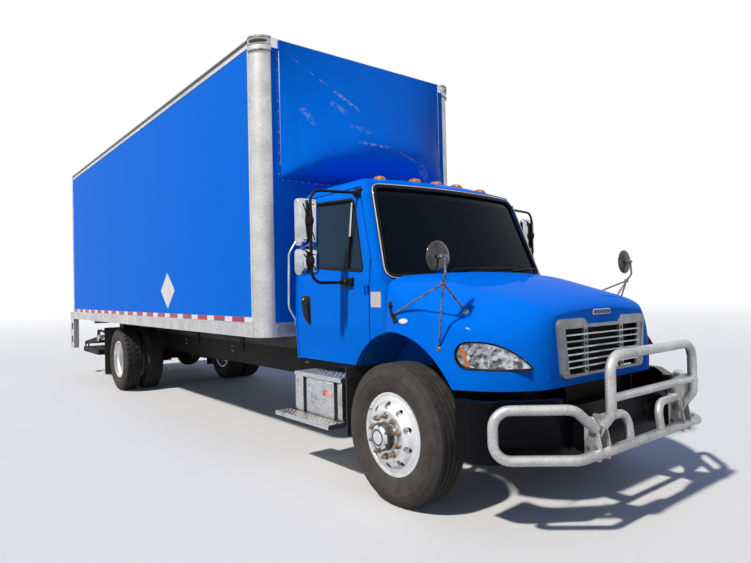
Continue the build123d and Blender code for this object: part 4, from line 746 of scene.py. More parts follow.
def rear_wheel_details():
    body = "rear_wheels_SIDE_body"
    y = REAR_AXLE_Y
    mount = REAR_TYRE_X - DISC_REACH
    treads = tyre_form(REAR_TYRE_X, y, True)
    inner = tyre_form(mount - DISC_REACH - TWIN_GAP, y, True)
    start = len(treads.verts)
    treads.verts += inner.verts
    treads.faces += [tuple(start + corner for corner in face) for face in inner.faces]
    treads.looks += inner.looks
    tyres = put_pair("rear_tyre_tread", treads, ["tyre_side", "tyre_tread"], body, 28)
    replace_pair(tyres, "rear_tyres_SIDE")
    put_pair("rear_wheel_nuts", wheel_nuts(mount + 0.0225, y, 0.5), "nut_steel", body)
    flange = [(-0.03, 0.104), (0.006, 0.104), (0.01, 0.1), (0.012, 0.05), (0.022, 0.045), (0.024, 0.02)]
    hub = Form().lathe(flange, facing((mount + 0.0905, y, TYRE), OUT), 36)
    for place in round_axle(mount + 0.1, y, 0.084, 8):
        hub.bolt(place, OUT, 0.0095, 0.012)
    put_pair("rear_hub_flange", hub, "hub_iron", body)
    stem = [(mount + 0.02, y - 0.16, TYRE + 0.17), (mount + 0.06, y - 0.17, TYRE + 0.18),
            (mount + 0.15, y - 0.18, TYRE + 0.19)]
    put_pair("rear_valve", Form().tube(stem, 0.0045, 8, 0.02), "brass_stem", body)

# Surfaces of the cab and hood that trim follows
CAB_UPPER = ((1.600, 1.047, 0.240, 0.162), (2.330, 0.965, 0.500, 0.400), (2.440, 0.925, 0.565, 0.460))
CAB_LOWER = ((0.930, 1.035), (1.250, 1.055), (1.600, 1.047))
CAB_CORNER = 0.060
GLASS_OUT = (0, -0.95, 0.31)


def along_table(table, value):
    """The two rows around a value, and how far it lies between them."""
    for low, high in zip(table, table[1:]):
        if value <= high[0]:
            return low, high, (value - low[0]) / (high[0] - low[0])
    return table[-2], table[-1], 1.0


def cab_half(z):
    """Half of the cab's width at a height."""
    low, high, share = along_table(CAB_UPPER if z > 1.6 else CAB_LOWER, z)
    return low[1] + (high[1] - low[1]) * share


def cab_front(x, z):
    """Where the cab's front surface lies at a height."""
    low, high, share = along_table(CAB_UPPER, z)
    part = min(1.0, abs(x) / (cab_half(z) - CAB_CORNER))
    depths = []
    for _, half, corner, middle in (low, high):
        reach = half - CAB_CORNER
        rise = corner - middle
        radius = (reach ** 2 + rise ** 2) / (2 * rise)
        depths.append(middle + radius - math.sqrt(radius ** 2 - (part * reach) ** 2))
    return depths[0] + (depths[1] - depths[0]) * share


def front_place(x, z, rise):
    """A point over the windshield, which leans back by about 18 degrees."""
    return (x, cab_front(x, z) + rise * GLASS_OUT[1], z + rise * GLASS_OUT[2])


def side_place(y, z, rise):
    """A point over the cab's left side."""
    return (cab_half(z) + rise, y, z)


def trim(form, outline, place, section):
    """Strip of one section that follows an outline drawn on a surface."""
    rings = []
    for index, corner in enumerate(outline):
        before = Vector(outline[index - 1])
        after = Vector(outline[(index + 1) % len(outline)])
        run = (after - before).normalized()
        out = Vector((run.y, -run.x))
        ring = []
        for across, rise in section:
            spot = Vector(corner) + out * across
            ring.append(place(spot.x, spot.y, rise))
        rings.append(ring)
    return form.rings(rings, loop=True)


def dense(outline, step=0.04):
    """The outline with more corners, so that it follows a curved surface."""
    made = []
    for start, end in zip(outline, outline[1:] + outline[:1]):
        count = max(1, math.ceil(math.dist(start, end) / step))
        for number in range(count):
            share = number / count
            made.append((start[0] + (end[0] - start[0]) * share, start[1] + (end[1] - start[1]) * share))
    return made


WINDSHIELD = [(-0.965, 1.642), (0.965, 1.642), (0.872, 2.400), (-0.872, 2.400)]
DOOR_WINDOW = [(0.455, 1.690), (1.350, 1.765), (1.350, 2.335), (0.650, 2.292)]


def cab_trim():
    shield = dense(rounded(WINDSHIELD, 0.085, 8))
    gasket = trim(Form(), shield, front_place, [
        (-0.018, -0.004), (-0.018, 0.005), (-0.010, 0.010), (0.012, 0.011), (0.020, 0.007), (0.022, 0.001),
        (0.0, -0.002),
    ])
    put("windshield_gasket", gasket, "seal_rubber", smooth=50)
    bead = trim(Form(), shield, front_place, [
        (0.010, 0.0095), (0.012, 0.0125), (0.016, 0.0125), (0.0195, 0.009), (0.0195, 0.006),
    ])
    put("windshield_bead", bead, "chrome", smooth=60)
    seal = trim(Form(), dense(rounded(DOOR_WINDOW, 0.040, 6)), side_place, [
        (-0.014, -0.016), (-0.013, -0.002), (-0.006, 0.004), (0.004, 0.005), (0.010, 0.003),
        (0.012, -0.003), (0.0, -0.006),
    ])
    put_pair("window_seal", seal, "seal_rubber", "door_SIDE_body", 50)
    divider = Form()
    section = [(-0.004, -0.010), (0.014, -0.010), (0.019, -0.006), (0.019, 0.006), (0.014, 0.010),
               (-0.004, 0.010)]
    steps = 10
    for look, low, high in ((0, 1.700, 1.985), (1, 1.985, 2.268)):
        rings = []
        for number in range(steps + 1):
            z = low + (high - low) * number / steps
            y = 0.672 + 0.008 * (z - 1.7)
            x = cab_half(z) - 0.018
            rings.append([(x + out, y + along, z) for out, along in section])
        divider.look = look
        divider.rings(rings)
    put_pair("window_divider", divider, ["seal_rubber", "chrome"], "door_SIDE_body", 40)


def wipers():
    form = Form()
    section = [Vector((0, -0.007, -0.004)), Vector((0, -0.007, 0.006)), Vector((0, 0.006, 0.006)),
               Vector((0, 0.006, -0.004))]
    for side in SIDES:
        middle = side * 0.16
        pivot = Vector(front_place(middle - 0.22, 1.628, 0.012))
        elbow = Vector(front_place(middle - 0.14, 1.690, 0.036))
        tip = Vector(front_place(middle + 0.40, 1.705, 0.036))
        form.lathe([(0, 0.022), (0.018, 0.022), (0.024, 0.016)], facing(pivot, GLASS_OUT), 14)
        form.tube([pivot + Vector((0, -0.01, 0.01)), elbow, tip], 0.0055, 8, 0.05)
        blade = []
        for number in range(13):
            share = number / 12
            spot = Vector(front_place(middle + 0.02 + 0.72 * share, 1.668 + 0.045 * share, 0.010))
            blade.append([spot + corner for corner in section])
        form.rings(blade)
    put("wipers", form, "black_plastic")
    nozzles = Form()
    for x in (-0.52, 0.52):
        spot = facing(front_place(x, 1.618, 0.001), GLASS_OUT)
        nozzles.lathe([(0, 0.011), (0.006, 0.010), (0.009, 0.005)], spot, 12)
    put("washer_nozzles", nozzles, "black_plastic")


def door_hardware():
    """Handle in its bezel, lock and inner face of a door."""
    handle = Form()
    x = cab_half(1.50)
    spot = facing((x - 0.002, 1.285, 1.375), OUT)
    bezel = rounded([(-0.082, -0.118), (-0.070, -0.135), (-0.030, -0.135), (0.050, -0.060), (0.078, 0.040),
                     (0.078, 0.125), (-0.062, 0.125)], 0.022)
    handle.slab(bezel, 0, 0.009, 0.003, spot)
    handle.slab([(a * 0.62, b * 0.74 - 0.010) for a, b in bezel], 0.0090, 0.0094, 0.0, spot)
    grip = rounded([(-0.058, -0.100), (-0.024, -0.100), (0.006, 0.066), (-0.036, 0.066)], 0.014)
    handle.slab(grip, 0.006, 0.024, 0.006, spot)
    put_pair("door_handle", handle, "black_plastic", "door_SIDE_body")
    barrel = [(0.008, 0.014), (0.012, 0.013), (0.0135, 0.009), (0.0115, 0.004)]
    lock = Form().lathe(barrel, facing((x, 1.325, 1.472), OUT), 18)
    put_pair("door_lock", lock, "chrome", "door_SIDE_body")
    card = Form()
    inner = 0.985
    card.block(inner - 0.052, inner - 0.030, 0.50, 1.38, 1.02, 1.55, 0.008)
    card.block(inner - 0.095, inner - 0.045, 0.62, 1.22, 1.36, 1.42, 0.012)
    card.tube([(inner - 0.05, 0.66, 1.50), (inner - 0.085, 0.70, 1.505), (inner - 0.085, 0.98, 1.505),
               (inner - 0.05, 1.02, 1.50)], 0.010, 8, 0.03)
    put_pair("door_card", card, "cab_trim", "door_SIDE_body")


def cowl_plate():
    spot = facing((cab_half(1.50) + 0.0005, 0.284, 1.466), OUT)
    plate = Form().slab(panel(0.122, 0.118, 0.005), 0, 0.002, 0.0007, spot)
    put_pair("cowl_plate", plate, "plate_beige")


def skin_of(*names):
    """Search tree over CAD nodes, so that trim can lie on their faces."""
    verts = []
    faces = []
    for name in names:
        node = NODES[name]
        start = len(verts)
        verts += [node.matrix_world @ vert.co for vert in node.data.vertices]
        faces += [tuple(start + corner for corner in face.vertices) for face in node.data.polygons]
    return BVHTree.FromPolygons(verts, faces)


def cast(tree, start, heading):
    """Where a line first meets the tree, and which way the face looks."""
    hit, normal, _, _ = tree.ray_cast(at(*start), Vector(heading).normalized())
    if hit is None:
        return None, None
    if normal.dot(Vector(heading)) > 0:
        normal = -normal
    return Vector((hit.x, hit.y + MIDDLE, hit.z)), normal


def arc_points(start, middle, end, steps):
    """Points on the circle through three points, the last one left out."""
    (ax, ay), (bx, by), (cx, cy) = start, middle, end
    scale = 2 * (ax * (by - cy) + bx * (cy - ay) + cx * (ay - by))
    a2, b2, c2 = ax * ax + ay * ay, bx * bx + by * by, cx * cx + cy * cy
    ox = (a2 * (by - cy) + b2 * (cy - ay) + c2 * (ay - by)) / scale
    oy = (a2 * (cx - bx) + b2 * (ax - cx) + c2 * (bx - ax)) / scale
    radius = math.dist((ox, oy), start)
    angles = [math.atan2(y - oy, x - ox) for x, y in (start, middle, end)]
    span = (angles[2] - angles[0]) % math.tau
    if (angles[1] - angles[0]) % math.tau > span:
        span -= math.tau
    turns = [angles[0] + span * i / steps for i in range(steps)]
    return [(ox + radius * math.cos(turn), oy + radius * math.sin(turn)) for turn in turns]


# The left headlamp's outline: along the hood's corner and height
LAMP_OUTLINE = (
    arc_points((-0.241, 1.100), (-0.214, 1.168), (-0.145, 1.188), 10)
    + arc_points((-0.145, 1.188), (0.068, 1.160), (0.259, 1.020), 26)
    + [(0.259, 1.020)]
    + arc_points((0.250, 1.005), (0.050, 1.001), (-0.140, 1.008), 16)
    + arc_points((-0.140, 1.008), (-0.220, 1.047), (-0.241, 1.100), 10)
)
LAMP_MIDDLE = Vector((0.935, -0.745, 0))
LAMP_ALONG = Vector((-0.585, -0.811, 0))
LAMP_OUT = Vector((0.811, -0.585, 0))
# Place along and up the lamp's face, radius of the bowl and of its bulb
LAMP_BOWLS = ((-0.108, 1.096, 0.066, 0.016), (0.038, 1.088, 0.060, 0.013), (0.150, 1.052, 0.034, 0.008))


def lamp_spot(tree, along, height, depth):
    """A point on or behind the lamp's face."""
    start = LAMP_MIDDLE + LAMP_ALONG * along + LAMP_OUT * 0.4 + Vector((0, 0, height))
    hit, _ = cast(tree, start, -LAMP_OUT)
    if hit is None:
        hit = LAMP_MIDDLE + LAMP_ALONG * along + Vector((0, 0, height))
    return hit - LAMP_OUT * depth


def headlamp_details():
    tree = skin_of("hood", "headlamps")

    def spots(outline, depth):
        return [lamp_spot(tree, along, height, depth) for along, height in outline]

    small = inset(LAMP_OUTLINE, 0.007)
    smaller = inset(LAMP_OUTLINE, 0.012)
    section = ((LAMP_OUTLINE, -0.0005), (LAMP_OUTLINE, -0.003), (small, -0.0035), (smaller, 0.004),
               (smaller, 0.030), (small, 0.030))
    lines = [spots(outline, depth) for outline, depth in section]
    put_pair("headlamp_bezel", Form().rings(list(zip(*lines)), loop=True), "black_plastic", "hood_body", 40)
    rows = []
    inner = inset(LAMP_OUTLINE, 0.010)
    middle_u = sum(u for u, _ in inner) / len(inner)
    middle_z = sum(z for _, z in inner) / len(inner)
    levels = 9
    for level in range(levels):
        share = 1 - level / levels
        line = [(middle_u + (u - middle_u) * share, middle_z + (z - middle_z) * share) for u, z in inner]
        rows.append(spots(line, 0.030 + 0.022 * min(1.0, level / 2) + 0.003 * (level % 2)))
    put_pair("headlamp_housing", Form().rings(rows), "reflector", "hood_body", 20)
    heading = (LAMP_OUT * 0.75 + Vector((0, -0.66, 0))).normalized()
    bowls = Form()
    bulbs = Form()
    for along, height, radius, bulb in LAMP_BOWLS:
        place = facing(lamp_spot(tree, along, height, 0.046), heading)
        profile = [(0.030, radius * 1.06), (0.032, radius), (0.022, radius * 0.93), (0.010, radius * 0.74),
                   (0.002, radius * 0.45), (0.0, radius * 0.2)]
        bowls.lathe(profile, place, 28)
        place = facing(lamp_spot(tree, along, height, 0.044), heading)
        bulbs.lathe([(0, bulb), (0.016, bulb), (0.022, bulb * 0.6), (0.024, bulb * 0.2)], place, 16)
    put_pair("headlamp_bowls", bowls, "reflector", "hood_body", 25)
    put_pair("headlamp_bulbs", bulbs, "dark_chrome", "hood_body", 40)
    strip = [(-0.216, 1.142), (-0.184, 1.153), (-0.134, 1.036), (-0.166, 1.026)]
    amber = Form().rings([spots(strip, 0.030), spots(strip, 0.006)])
    put_pair("headlamp_amber", amber, "amber_lens", "hood_body", 0)
    end = [(0.175, 1.092), (0.205, 1.074), (0.238, 1.030), (0.225, 1.018), (0.196, 1.020)]
    shade = Form().rings([spots(end, 0.030), spots(end, 0.008)])
    put_pair("headlamp_inner_end", shade, "lamp_silver", "hood_body", 0)


def hood_details():
    tree = skin_of("hood")
    latch = Form()
    low, normal = cast(tree, (2.0, 0.020, 1.325), (-1, 0, 0))
    high, _ = cast(tree, (2.0, 0.085, 1.425), (-1, 0, 0))
    run = (high - low).normalized()
    side = normal.cross(run).normalized()
    turn = Matrix((side, run, normal)).transposed().to_4x4()
    for spot, width, length in ((low, 0.044, 0.060), (high, 0.036, 0.052)):
        latch.slab(panel(width, length, 0.010), -0.002, 0.010, 0.003, Matrix.Translation(spot) @ turn)
    latch.tube([low + normal * 0.010, low + run * 0.03 + normal * 0.020,
                high - run * 0.02 + normal * 0.020, high + normal * 0.012], 0.008, 8, 0.03)
    put_pair("hood_latch", latch, "black_plastic", "hood_body")
    marker = Form().slab(oval(0.088, 0.040, 28), 0, 0.009, 0.004,
                         facing(*cast(tree, (2.0, -0.075, 1.311), (-1, 0, 0))))
    put_pair("hood_marker", marker, "lamp_white", "hood_body", 40)
    outline = rounded([(-0.118, -0.019), (0.118, -0.019), (0.112, 0.019), (-0.112, 0.019)], 0.008)
    spot = facing(*cast(tree, (0.0, -2.0, 1.352), (0, 1, 0)))
    emblem = Form().slab(outline, 0.0003, 0.006, 0.002, spot)
    emblem.look = 1
    emblem.slab(inset(outline, 0.0045), 0.006, 0.0066, 0.0, spot)
    put("blank_nose_plate", emblem, ["chrome", "plate_blue"], "hood_body")


GRILLE_FRONT = -0.9863
GRILLE_LOW = 0.948
GRILLE_BARS = 7
SCREEN_PITCH = 0.0165


def grille_details():
    bars = Form()
    pitch = (1.318 - 0.066 - GRILLE_LOW) / GRILLE_BARS
    for number in range(1, GRILLE_BARS):
        z = GRILLE_LOW + pitch * number
        half = 0.452 + 0.02 * (z - 0.95) / 0.3
        bars.block(-half, half, GRILLE_FRONT + 0.0005, GRILLE_FRONT + 0.0035, z - 0.0045, z + 0.0045, 0.0012)
    put("grille_bar_faces", bars, "chrome", "hood_body")
    mesh = Form()
    for number in range(-27, 28):
        x = number * SCREEN_PITCH
        mesh.block(x - 0.0012, x + 0.0012, -0.9325, -0.9305, 0.950, 1.250, 0)
    for number in range(18):
        z = 0.953 + number * SCREEN_PITCH
        mesh.block(-0.455, 0.455, -0.9303, -0.9285, z - 0.0012, z + 0.0012, 0)
    mesh.block(-0.470, 0.470, -0.9280, -0.9240, 0.945, 1.300, 0.001)
    put("insect_screen", mesh, "seal_rubber", "hood_body", 0)
    screws = Form()
    for x, z in ((0.522, 1.272), (0.518, 1.120), (0.480, 0.968)):
        for side in SIDES:
            screws.bolt((side * x, GRILLE_FRONT + 0.008, z), FORWARD, 0.006, 0.005)
    put("grille_screws", screws, "chrome", "hood_body")


ROUND_MIRROR = Vector((1.165, -0.558, 1.743))
STRUT_APEX = Vector((1.146, -0.540, 1.573))
STRUT_FEET = (Vector((1.080, -0.419, 1.162)), Vector((0.905, -0.520, 1.362)), Vector((1.078, 0.090, 1.339)))


def round_mirror_part(profile, y, steps):
    """A turned part of the round mirror that faces the driver."""
    turn = Matrix.Rotation(-math.pi / 2, 4, "X")
    return Form().lathe(profile, Matrix.Translation(ROUND_MIRROR + Vector((0, y, 0))) @ turn, steps)


def hood_mirror_details():
    """Round mirrors on three struts each."""
    disc = ROUND_MIRROR
    tree = skin_of("hood")
    shell = [(0.0, 0.014), (0.001, 0.04), (0.005, 0.066), (0.012, 0.088), (0.019, 0.1005), (0.0225, 0.1042),
             (0.026, 0.105), (0.0285, 0.1035), (0.0285, 0.0995)]
    heads = put_pair("hood_mirror_head", round_mirror_part(shell, 0.0185, 48), "dark_chrome", "hood_body", 40)
    replace_pair(heads, "hood_mirrors")
    pane = [(0.0286, 0.0995), (0.0315, 0.08), (0.0335, 0.05), (0.0342, 0.012)]
    put_pair("hood_mirror_glass", round_mirror_part(pane, 0.0115, 40), "mirror_glass", "hood_body", 50)
    arms = Form()
    for foot in STRUT_FEET:
        run = (foot - STRUT_APEX).normalized()
        hit, normal = cast(tree, STRUT_APEX + run * 0.05, run)
        end = hit if hit is not None else foot
        arms.tube([STRUT_APEX, end - run * 0.004], 0.007, 10)
        if normal is not None:
            arms.lathe([(0, 0.020), (0.004, 0.020), (0.010, 0.012)], facing(end, normal), 16)
            arms.bolt(end + normal * 0.008, normal, 0.007, 0.006)
    stalk = [disc + Vector((0, y, z)) for y, z in ((-0.020, -0.112), (-0.014, -0.020), (-0.010, 0.012))]
    arms.tube([STRUT_APEX, *stalk], 0.008, 10, 0.03)
    arms.block(disc.x - 0.034, disc.x + 0.034, disc.y - 0.016, disc.y + 0.020, disc.z - 0.010,
               disc.z + 0.012, 0.004)
    knot = [(-0.016, 0.010), (-0.010, 0.017), (0.010, 0.017), (0.016, 0.010)]
    arms.lathe(knot, Matrix.Translation(STRUT_APEX), 16)
    put_pair("hood_mirror_struts", arms, "strut_steel", "hood_body", 40)


MIRROR_X = 1.397
MIRROR_TUBE_Y = 0.640
# Half width, low, high, front and back of each mirror's shell
MIRROR_SHELLS = ((0.100, 1.892, 2.272, 0.662, 0.714), (0.103, 1.667, 1.877, 0.662, 0.720))
# Half width, low, high, back and bulge of each mirror's pane
MIRROR_PANES = ((0.092, 1.900, 2.264, 0.7112, 0.0), (0.095, 1.675, 1.869, 0.717, 0.006))


def mirror_ring(outline, y, z, share=1):
    """The outline round a door mirror's middle, scaled by a share."""
    return [(MIRROR_X + a * share, y, z + b * share) for a, b in outline]


def mirror_details():
    """Door mirrors: two shells on a C-shaped tube with ball clamps."""
    y = MIRROR_TUBE_Y
    tube = Form()
    tube.tube([(0.942, 0.590, 2.338), (MIRROR_X, y, 2.330), (MIRROR_X, y, 1.606), (1.022, 0.655, 1.606)],
              0.012, 12, 0.09)
    upper = ((0.966, 0.590, 2.337), (1, 0.1, 0), 0.072)
    lower = ((1.052, 0.640, 1.608), OUT, 0.150)
    for place, out, wide in (upper, lower):
        spot = facing(place, out)
        tube.slab(panel(wide, 0.072, 0.014), -0.030, 0.022, 0.006, spot)
        tube.lathe([(0.018, 0.030), (0.036, 0.028), (0.046, 0.016)], spot, 18)
        for across in (-0.019, 0.019):
            tube.bolt(spot @ Vector((across, across, 0.022)), spot.col[2].xyz, 0.006, 0.006)
    half_ball = [(0.010, 0.0265), (0.028, 0.021), (0.034, 0.010)]
    ball = [(-along, radius) for along, radius in reversed(half_ball)] + half_ball
    for z, tall in ((2.090, 0.135), (1.776, 0.075)):
        tube.lathe(ball, Matrix.Translation((MIRROR_X, y, z)), 18)
        brace = rounded([(-0.020, -tall), (0.020, -tall), (0.034, 0.0), (0.020, tall), (-0.020, tall),
                         (-0.034, 0.0)], 0.014)
        tube.slab(brace, 0.0, 0.016, 0.004, facing((MIRROR_X, 0.665, z), FORWARD))
    put_pair("mirror_tube", tube, "black_plastic", "door_SIDE_body", 40)
    heads = Form()
    for half, low, high, front, back in MIRROR_SHELLS:
        middle = (low + high) / 2
        outline = panel(2 * half, high - low, 0.048, 8)
        levels = ((0.0, 0.052), (0.0015, 0.038), (0.006, 0.022), (0.015, 0.008), (0.028, 0.0015))
        rings = [mirror_ring(inset(outline, shrink), front + depth, middle) for depth, shrink in levels]
        rings.append(mirror_ring(outline, front + 0.040, middle))
        rings.append(mirror_ring(outline, back, middle))
        lip = inset(outline, 0.005)
        rings.append(mirror_ring(lip, back, middle))
        rings.append(mirror_ring(lip, back - 0.004, middle))
        heads.rings(rings)
    shells = put_pair("mirror_shells", heads, "chrome", "door_SIDE_body", 50)
    replace_pair(shells, "mirror_SIDE")
    glass = Form()
    for half, low, high, back, bulge in MIRROR_PANES:
        outline = panel(2 * half, high - low, 0.044, 6)
        rings = []
        for shrink in (0.0, 0.03, 0.06, 0.085):
            share = 1 - shrink / 0.1
            rings.append(mirror_ring(outline, back + bulge * (1 - share ** 2), (low + high) / 2, share))
        glass.rings(rings)
    put_pair("mirror_glass", glass, "mirror_glass", "door_SIDE_body", 60)


GUARD_TUBE = 0.03175
HOOP_X = 0.550
HOOP_Y = -1.330
PLATE_GAP = 0.050
GUARD_PIN = (-1.235, 0.640)
GUARD_LOOP = (
    (-0.599, -1.250, 0.668), (-0.800, -1.240, 0.810), (-1.160, -0.930, 0.810), (-1.160, -0.930, 0.515),
    (-0.780, -1.262, 0.515),
)


def across_x(form, outline, low, high, bevel=0.0):
    """A plate with a (y, z) outline between two x places."""
    place = Matrix(((0, 0, 1, 0), (1, 0, 0, 0), (0, 1, 0, 0), (0, 0, 0, 1)))
    return form.slab(outline, low, high, bevel, place)


def hoop_flanks(gap):
    """x of the places beside both legs of the hoop, and which way they look."""
    return [(side * HOOP_X + offset * gap, offset) for side in SIDES for offset in SIDES]


def guard_details():
    pin_y, pin_z = GUARD_PIN
    loops = Form()
    path = list(GUARD_LOOP) + [(-x, y, z) for x, y, z in reversed(GUARD_LOOP)]
    loops.tube(path, GUARD_TUBE, 20, 0.105, arc=10)
    plate = rounded([(-1.168, 0.500), (-1.245, 0.474), (-1.288, 0.474), (-1.294, 0.560), (-1.268, 0.690),
                     (-1.240, 0.738), (-1.180, 0.738), (-1.168, 0.700)], 0.012)
    for x, _ in hoop_flanks(PLATE_GAP):
        across_x(loops, plate, x - 0.005, x + 0.005, 0.0012)
    for side in SIDES:
        x = side * HOOP_X
        foot = side * 0.205
        inner = side * (HOOP_X - 0.045)
        loops.tube([(inner, -1.225, 0.712), (foot, -1.240, 0.712), (foot, -1.262, 0.520)], 0.0275, 18,
                   0.085, arc=8)
        loops.tube([(x - 0.065, pin_y, pin_z), (x + 0.065, pin_y, pin_z)], 0.012, 16)
    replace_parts(put("guard_loops", loops, "guard_steel", smooth=40), "guard_frame")
    hoop = Form()
    hoop.tube([(-HOOP_X, HOOP_Y, 0.885), (-HOOP_X, HOOP_Y, 1.110), (HOOP_X, HOOP_Y, 1.110),
               (HOOP_X, HOOP_Y, 0.885)], GUARD_TUBE, 20, 0.190, arc=14)
    ear = [(pin_y + 0.026, pin_z - 0.026), (pin_y - 0.026, pin_z - 0.026), (pin_y - 0.066, pin_z + 0.066),
           (pin_y - 0.020, pin_z + 0.076), (pin_y + 0.026, pin_z + 0.026)]
    for side in SIDES:
        x = side * HOOP_X
        hoop.tube([(x, -1.277, 0.690), (x, HOOP_Y, 0.760), (x, HOOP_Y, 0.890)], GUARD_TUBE, 20, 0.060, arc=6)
        across_x(hoop, ear, x - 0.014, x + 0.014, 0.002)
    web = [(HOOP_Y, 0.895), (-1.262, 0.882), (-1.205, 0.850), (-1.205, 0.730), (-1.212, 0.666),
           (-1.265, 0.690), (HOOP_Y, 0.770)]
    across_x(hoop, web, HOOP_X - 0.005, HOOP_X + 0.005, 0.001)
    hoop.tube([(-HOOP_X, HOOP_Y, 0.855), (HOOP_X, HOOP_Y, 0.855)], 0.026, 18)
    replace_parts(put("guard_hoop_tubes", hoop, "guard_steel", "guard_hoop_body", 40), "guard_hoop")
    bolts = Form()
    for x, offset in hoop_flanks(PLATE_GAP + 0.005):
        out = (offset, 0, 0)
        bolts.bolt((x, pin_y, pin_z), out, 0.019, 0.017)
        for y, z in ((-1.205, 0.705), (-1.200, 0.540), (-1.255, 0.555)):
            bolts.bolt((x, y, z), out, 0.012, 0.012)
    put("guard_bolts", bolts, "bare_steel")
    welds = Form()
    seam = circle(0.0335, 24)
    for x, _ in hoop_flanks(PLATE_GAP):
        welds.tube([(x, -1.255 + a, 0.515 + b) for a, b in seam + seam[:1]], 0.0035, 6)
    put("guard_welds", welds, "guard_steel", smooth=60)
    covers = Form()
    for x, _ in hoop_flanks(PLATE_GAP):
        across_x(covers, [(-1.1005, 0.530), (-1.180, 0.505), (-1.180, 0.725), (-1.1005, 0.690)],
                 x - 0.0062, x + 0.0062)
    put("guard_bracket_covers", covers, "bumper_paint", smooth=0)


BUMPER_FRONT = -1.1005


def bumper_details():
    hooks = Form()
    for x in (-0.34, 0.34):
        hooks.slab(panel(0.110, 0.090, 0.02), 0, 0.006, 0.002, facing((x, BUMPER_FRONT, 0.62), FORWARD))
        for bolt_x in (x - 0.035, x + 0.035):
            hooks.bolt((bolt_x, -1.107, 0.62), FORWARD, 0.010, 0.008)
    put("bumper_plates", hooks, "bumper_paint")
    # Black sheet behind the bumper: painted shade that closes the see-through gap under the hood
    shield = Form().block(-0.745, 0.745, -0.850, -0.842, 0.600, 0.862, 0.002)
    put("front_gap_shade_panel", shield, "bumper_paint")
    bolts = Form()
    for side in SIDES:
        for x, z in ((0.46, 0.72), (0.46, 0.53), (0.64, 0.72), (0.64, 0.53)):
            bolts.bolt((side * x, BUMPER_FRONT + 0.0002, z), FORWARD, 0.011, 0.008)
    put("bumper_bolts", bolts, "bumper_paint")
    slats = Form()
    for number in range(5):
        z = 0.515 + 0.024 * number
        slats.block(-0.24, 0.24, BUMPER_FRONT - 0.003, BUMPER_FRONT + 0.0002, z - 0.006, z + 0.006, 0.001)
    put("bumper_slats", slats, "bumper_paint")


# The van body: its half width, its ends, its rails and its front corner posts
BOX_HALF = 1.296
BOX_FRONT = 1.693
POST_RADIUS = 0.153
BOX_REAR = 9.713
RAIL_FACE = 1.300
RAIL_START = 1.850
RAIL_END = 9.615
LAST_RIVET = 9.60
POST_X = BOX_HALF - POST_RADIUS
POST_Y = BOX_FRONT + POST_RADIUS
TAPE_START = 1.857
TAPE_WHITE = 0.178
TAPE_RED = 0.457 - TAPE_WHITE


def rail_strip(form, depth_in, depth_out, low, high, bevel):
    """A strip along the whole rail, let in and standing out by the depths."""
    return form.block(RAIL_FACE - depth_in, RAIL_FACE + depth_out, RAIL_START, RAIL_END, low, high, bevel)


def box_side_details():
    tape = Form()
    y = TAPE_START
    while y < LAST_RIVET:
        for look, length in enumerate((TAPE_WHITE, TAPE_RED)):
            end = min(y + length, RAIL_END)
            if end - y > 0.01:
                tape.look = look
                tape.block(BOX_HALF - 0.001, BOX_HALF + 0.0006, y + 0.0006, end - 0.0006, 1.258, 1.308, 0)
            y = y + length
    put_pair("side_tape", tape, ["tape_white", "tape_red"], smooth=0)
    rail = Form()
    for number, y in enumerate(stepped(1.875, LAST_RIVET, 0.055)):
        rail.rivet((RAIL_FACE, y, 1.145 + 0.080 * (number % 2)), OUT, 0.0065, 0.0035, 7)
    put_pair("lower_rail_rivets", rail, "rail_alloy", smooth=60)
    edge = rail_strip(Form(), 0.003, 0.004, 1.2465, 1.2555, 0.0012)
    rail_strip(edge, 0.003, 0.003, 1.116, 1.124, 0.0012)
    put_pair("lower_rail_edges", edge, "rail_alloy", smooth=30)
    high = Form()
    for y in stepped(1.90, LAST_RIVET, 0.100):
        high.rivet((RAIL_FACE, y, 3.900), OUT, 0.006, 0.003, 7)
    rail_strip(high, 0.002, 0.006, 3.955, 3.968, 0.002)
    rail_strip(high, 0.002, 0.003, 3.877, 3.884, 0.0012)
    put_pair("upper_rail_rivets", high, "rail_alloy", smooth=60)
    # Dark strip under the rail's top lip: painted shade of the gap there, with some dirt
    lip_shade = rail_strip(Form(), 0.001, 0.0045, 3.924, 3.958, 0.001)
    put_pair("upper_rail_gutter", lip_shade, "dark_strip", smooth=0)
    spot = facing((BOX_HALF + 0.0002, 4.202, 1.5945), OUT)
    diamond = rounded([(0, -0.2275), (0.2512, 0), (0, 0.2275), (-0.2512, 0)], 0.014)
    put_pair("blank_placard", Form().slab(diamond, 0, 0.0012, 0.0004, spot), "placard_white", smooth=0)
    holder = Form()
    for a, b in ((0, -0.2), (0.22, 0), (0, 0.2), (-0.22, 0)):
        holder.rivet(spot @ Vector((a, b, 0.001)), OUT, 0.005, 0.002, 8)
    put_pair("placard_rivets", holder, "rail_alloy", smooth=60)


def post_spot(turn, radius, z):
    """A point round the middle of the left corner post."""
    return (POST_X + radius * math.cos(turn), POST_Y - radius * math.sin(turn), z)


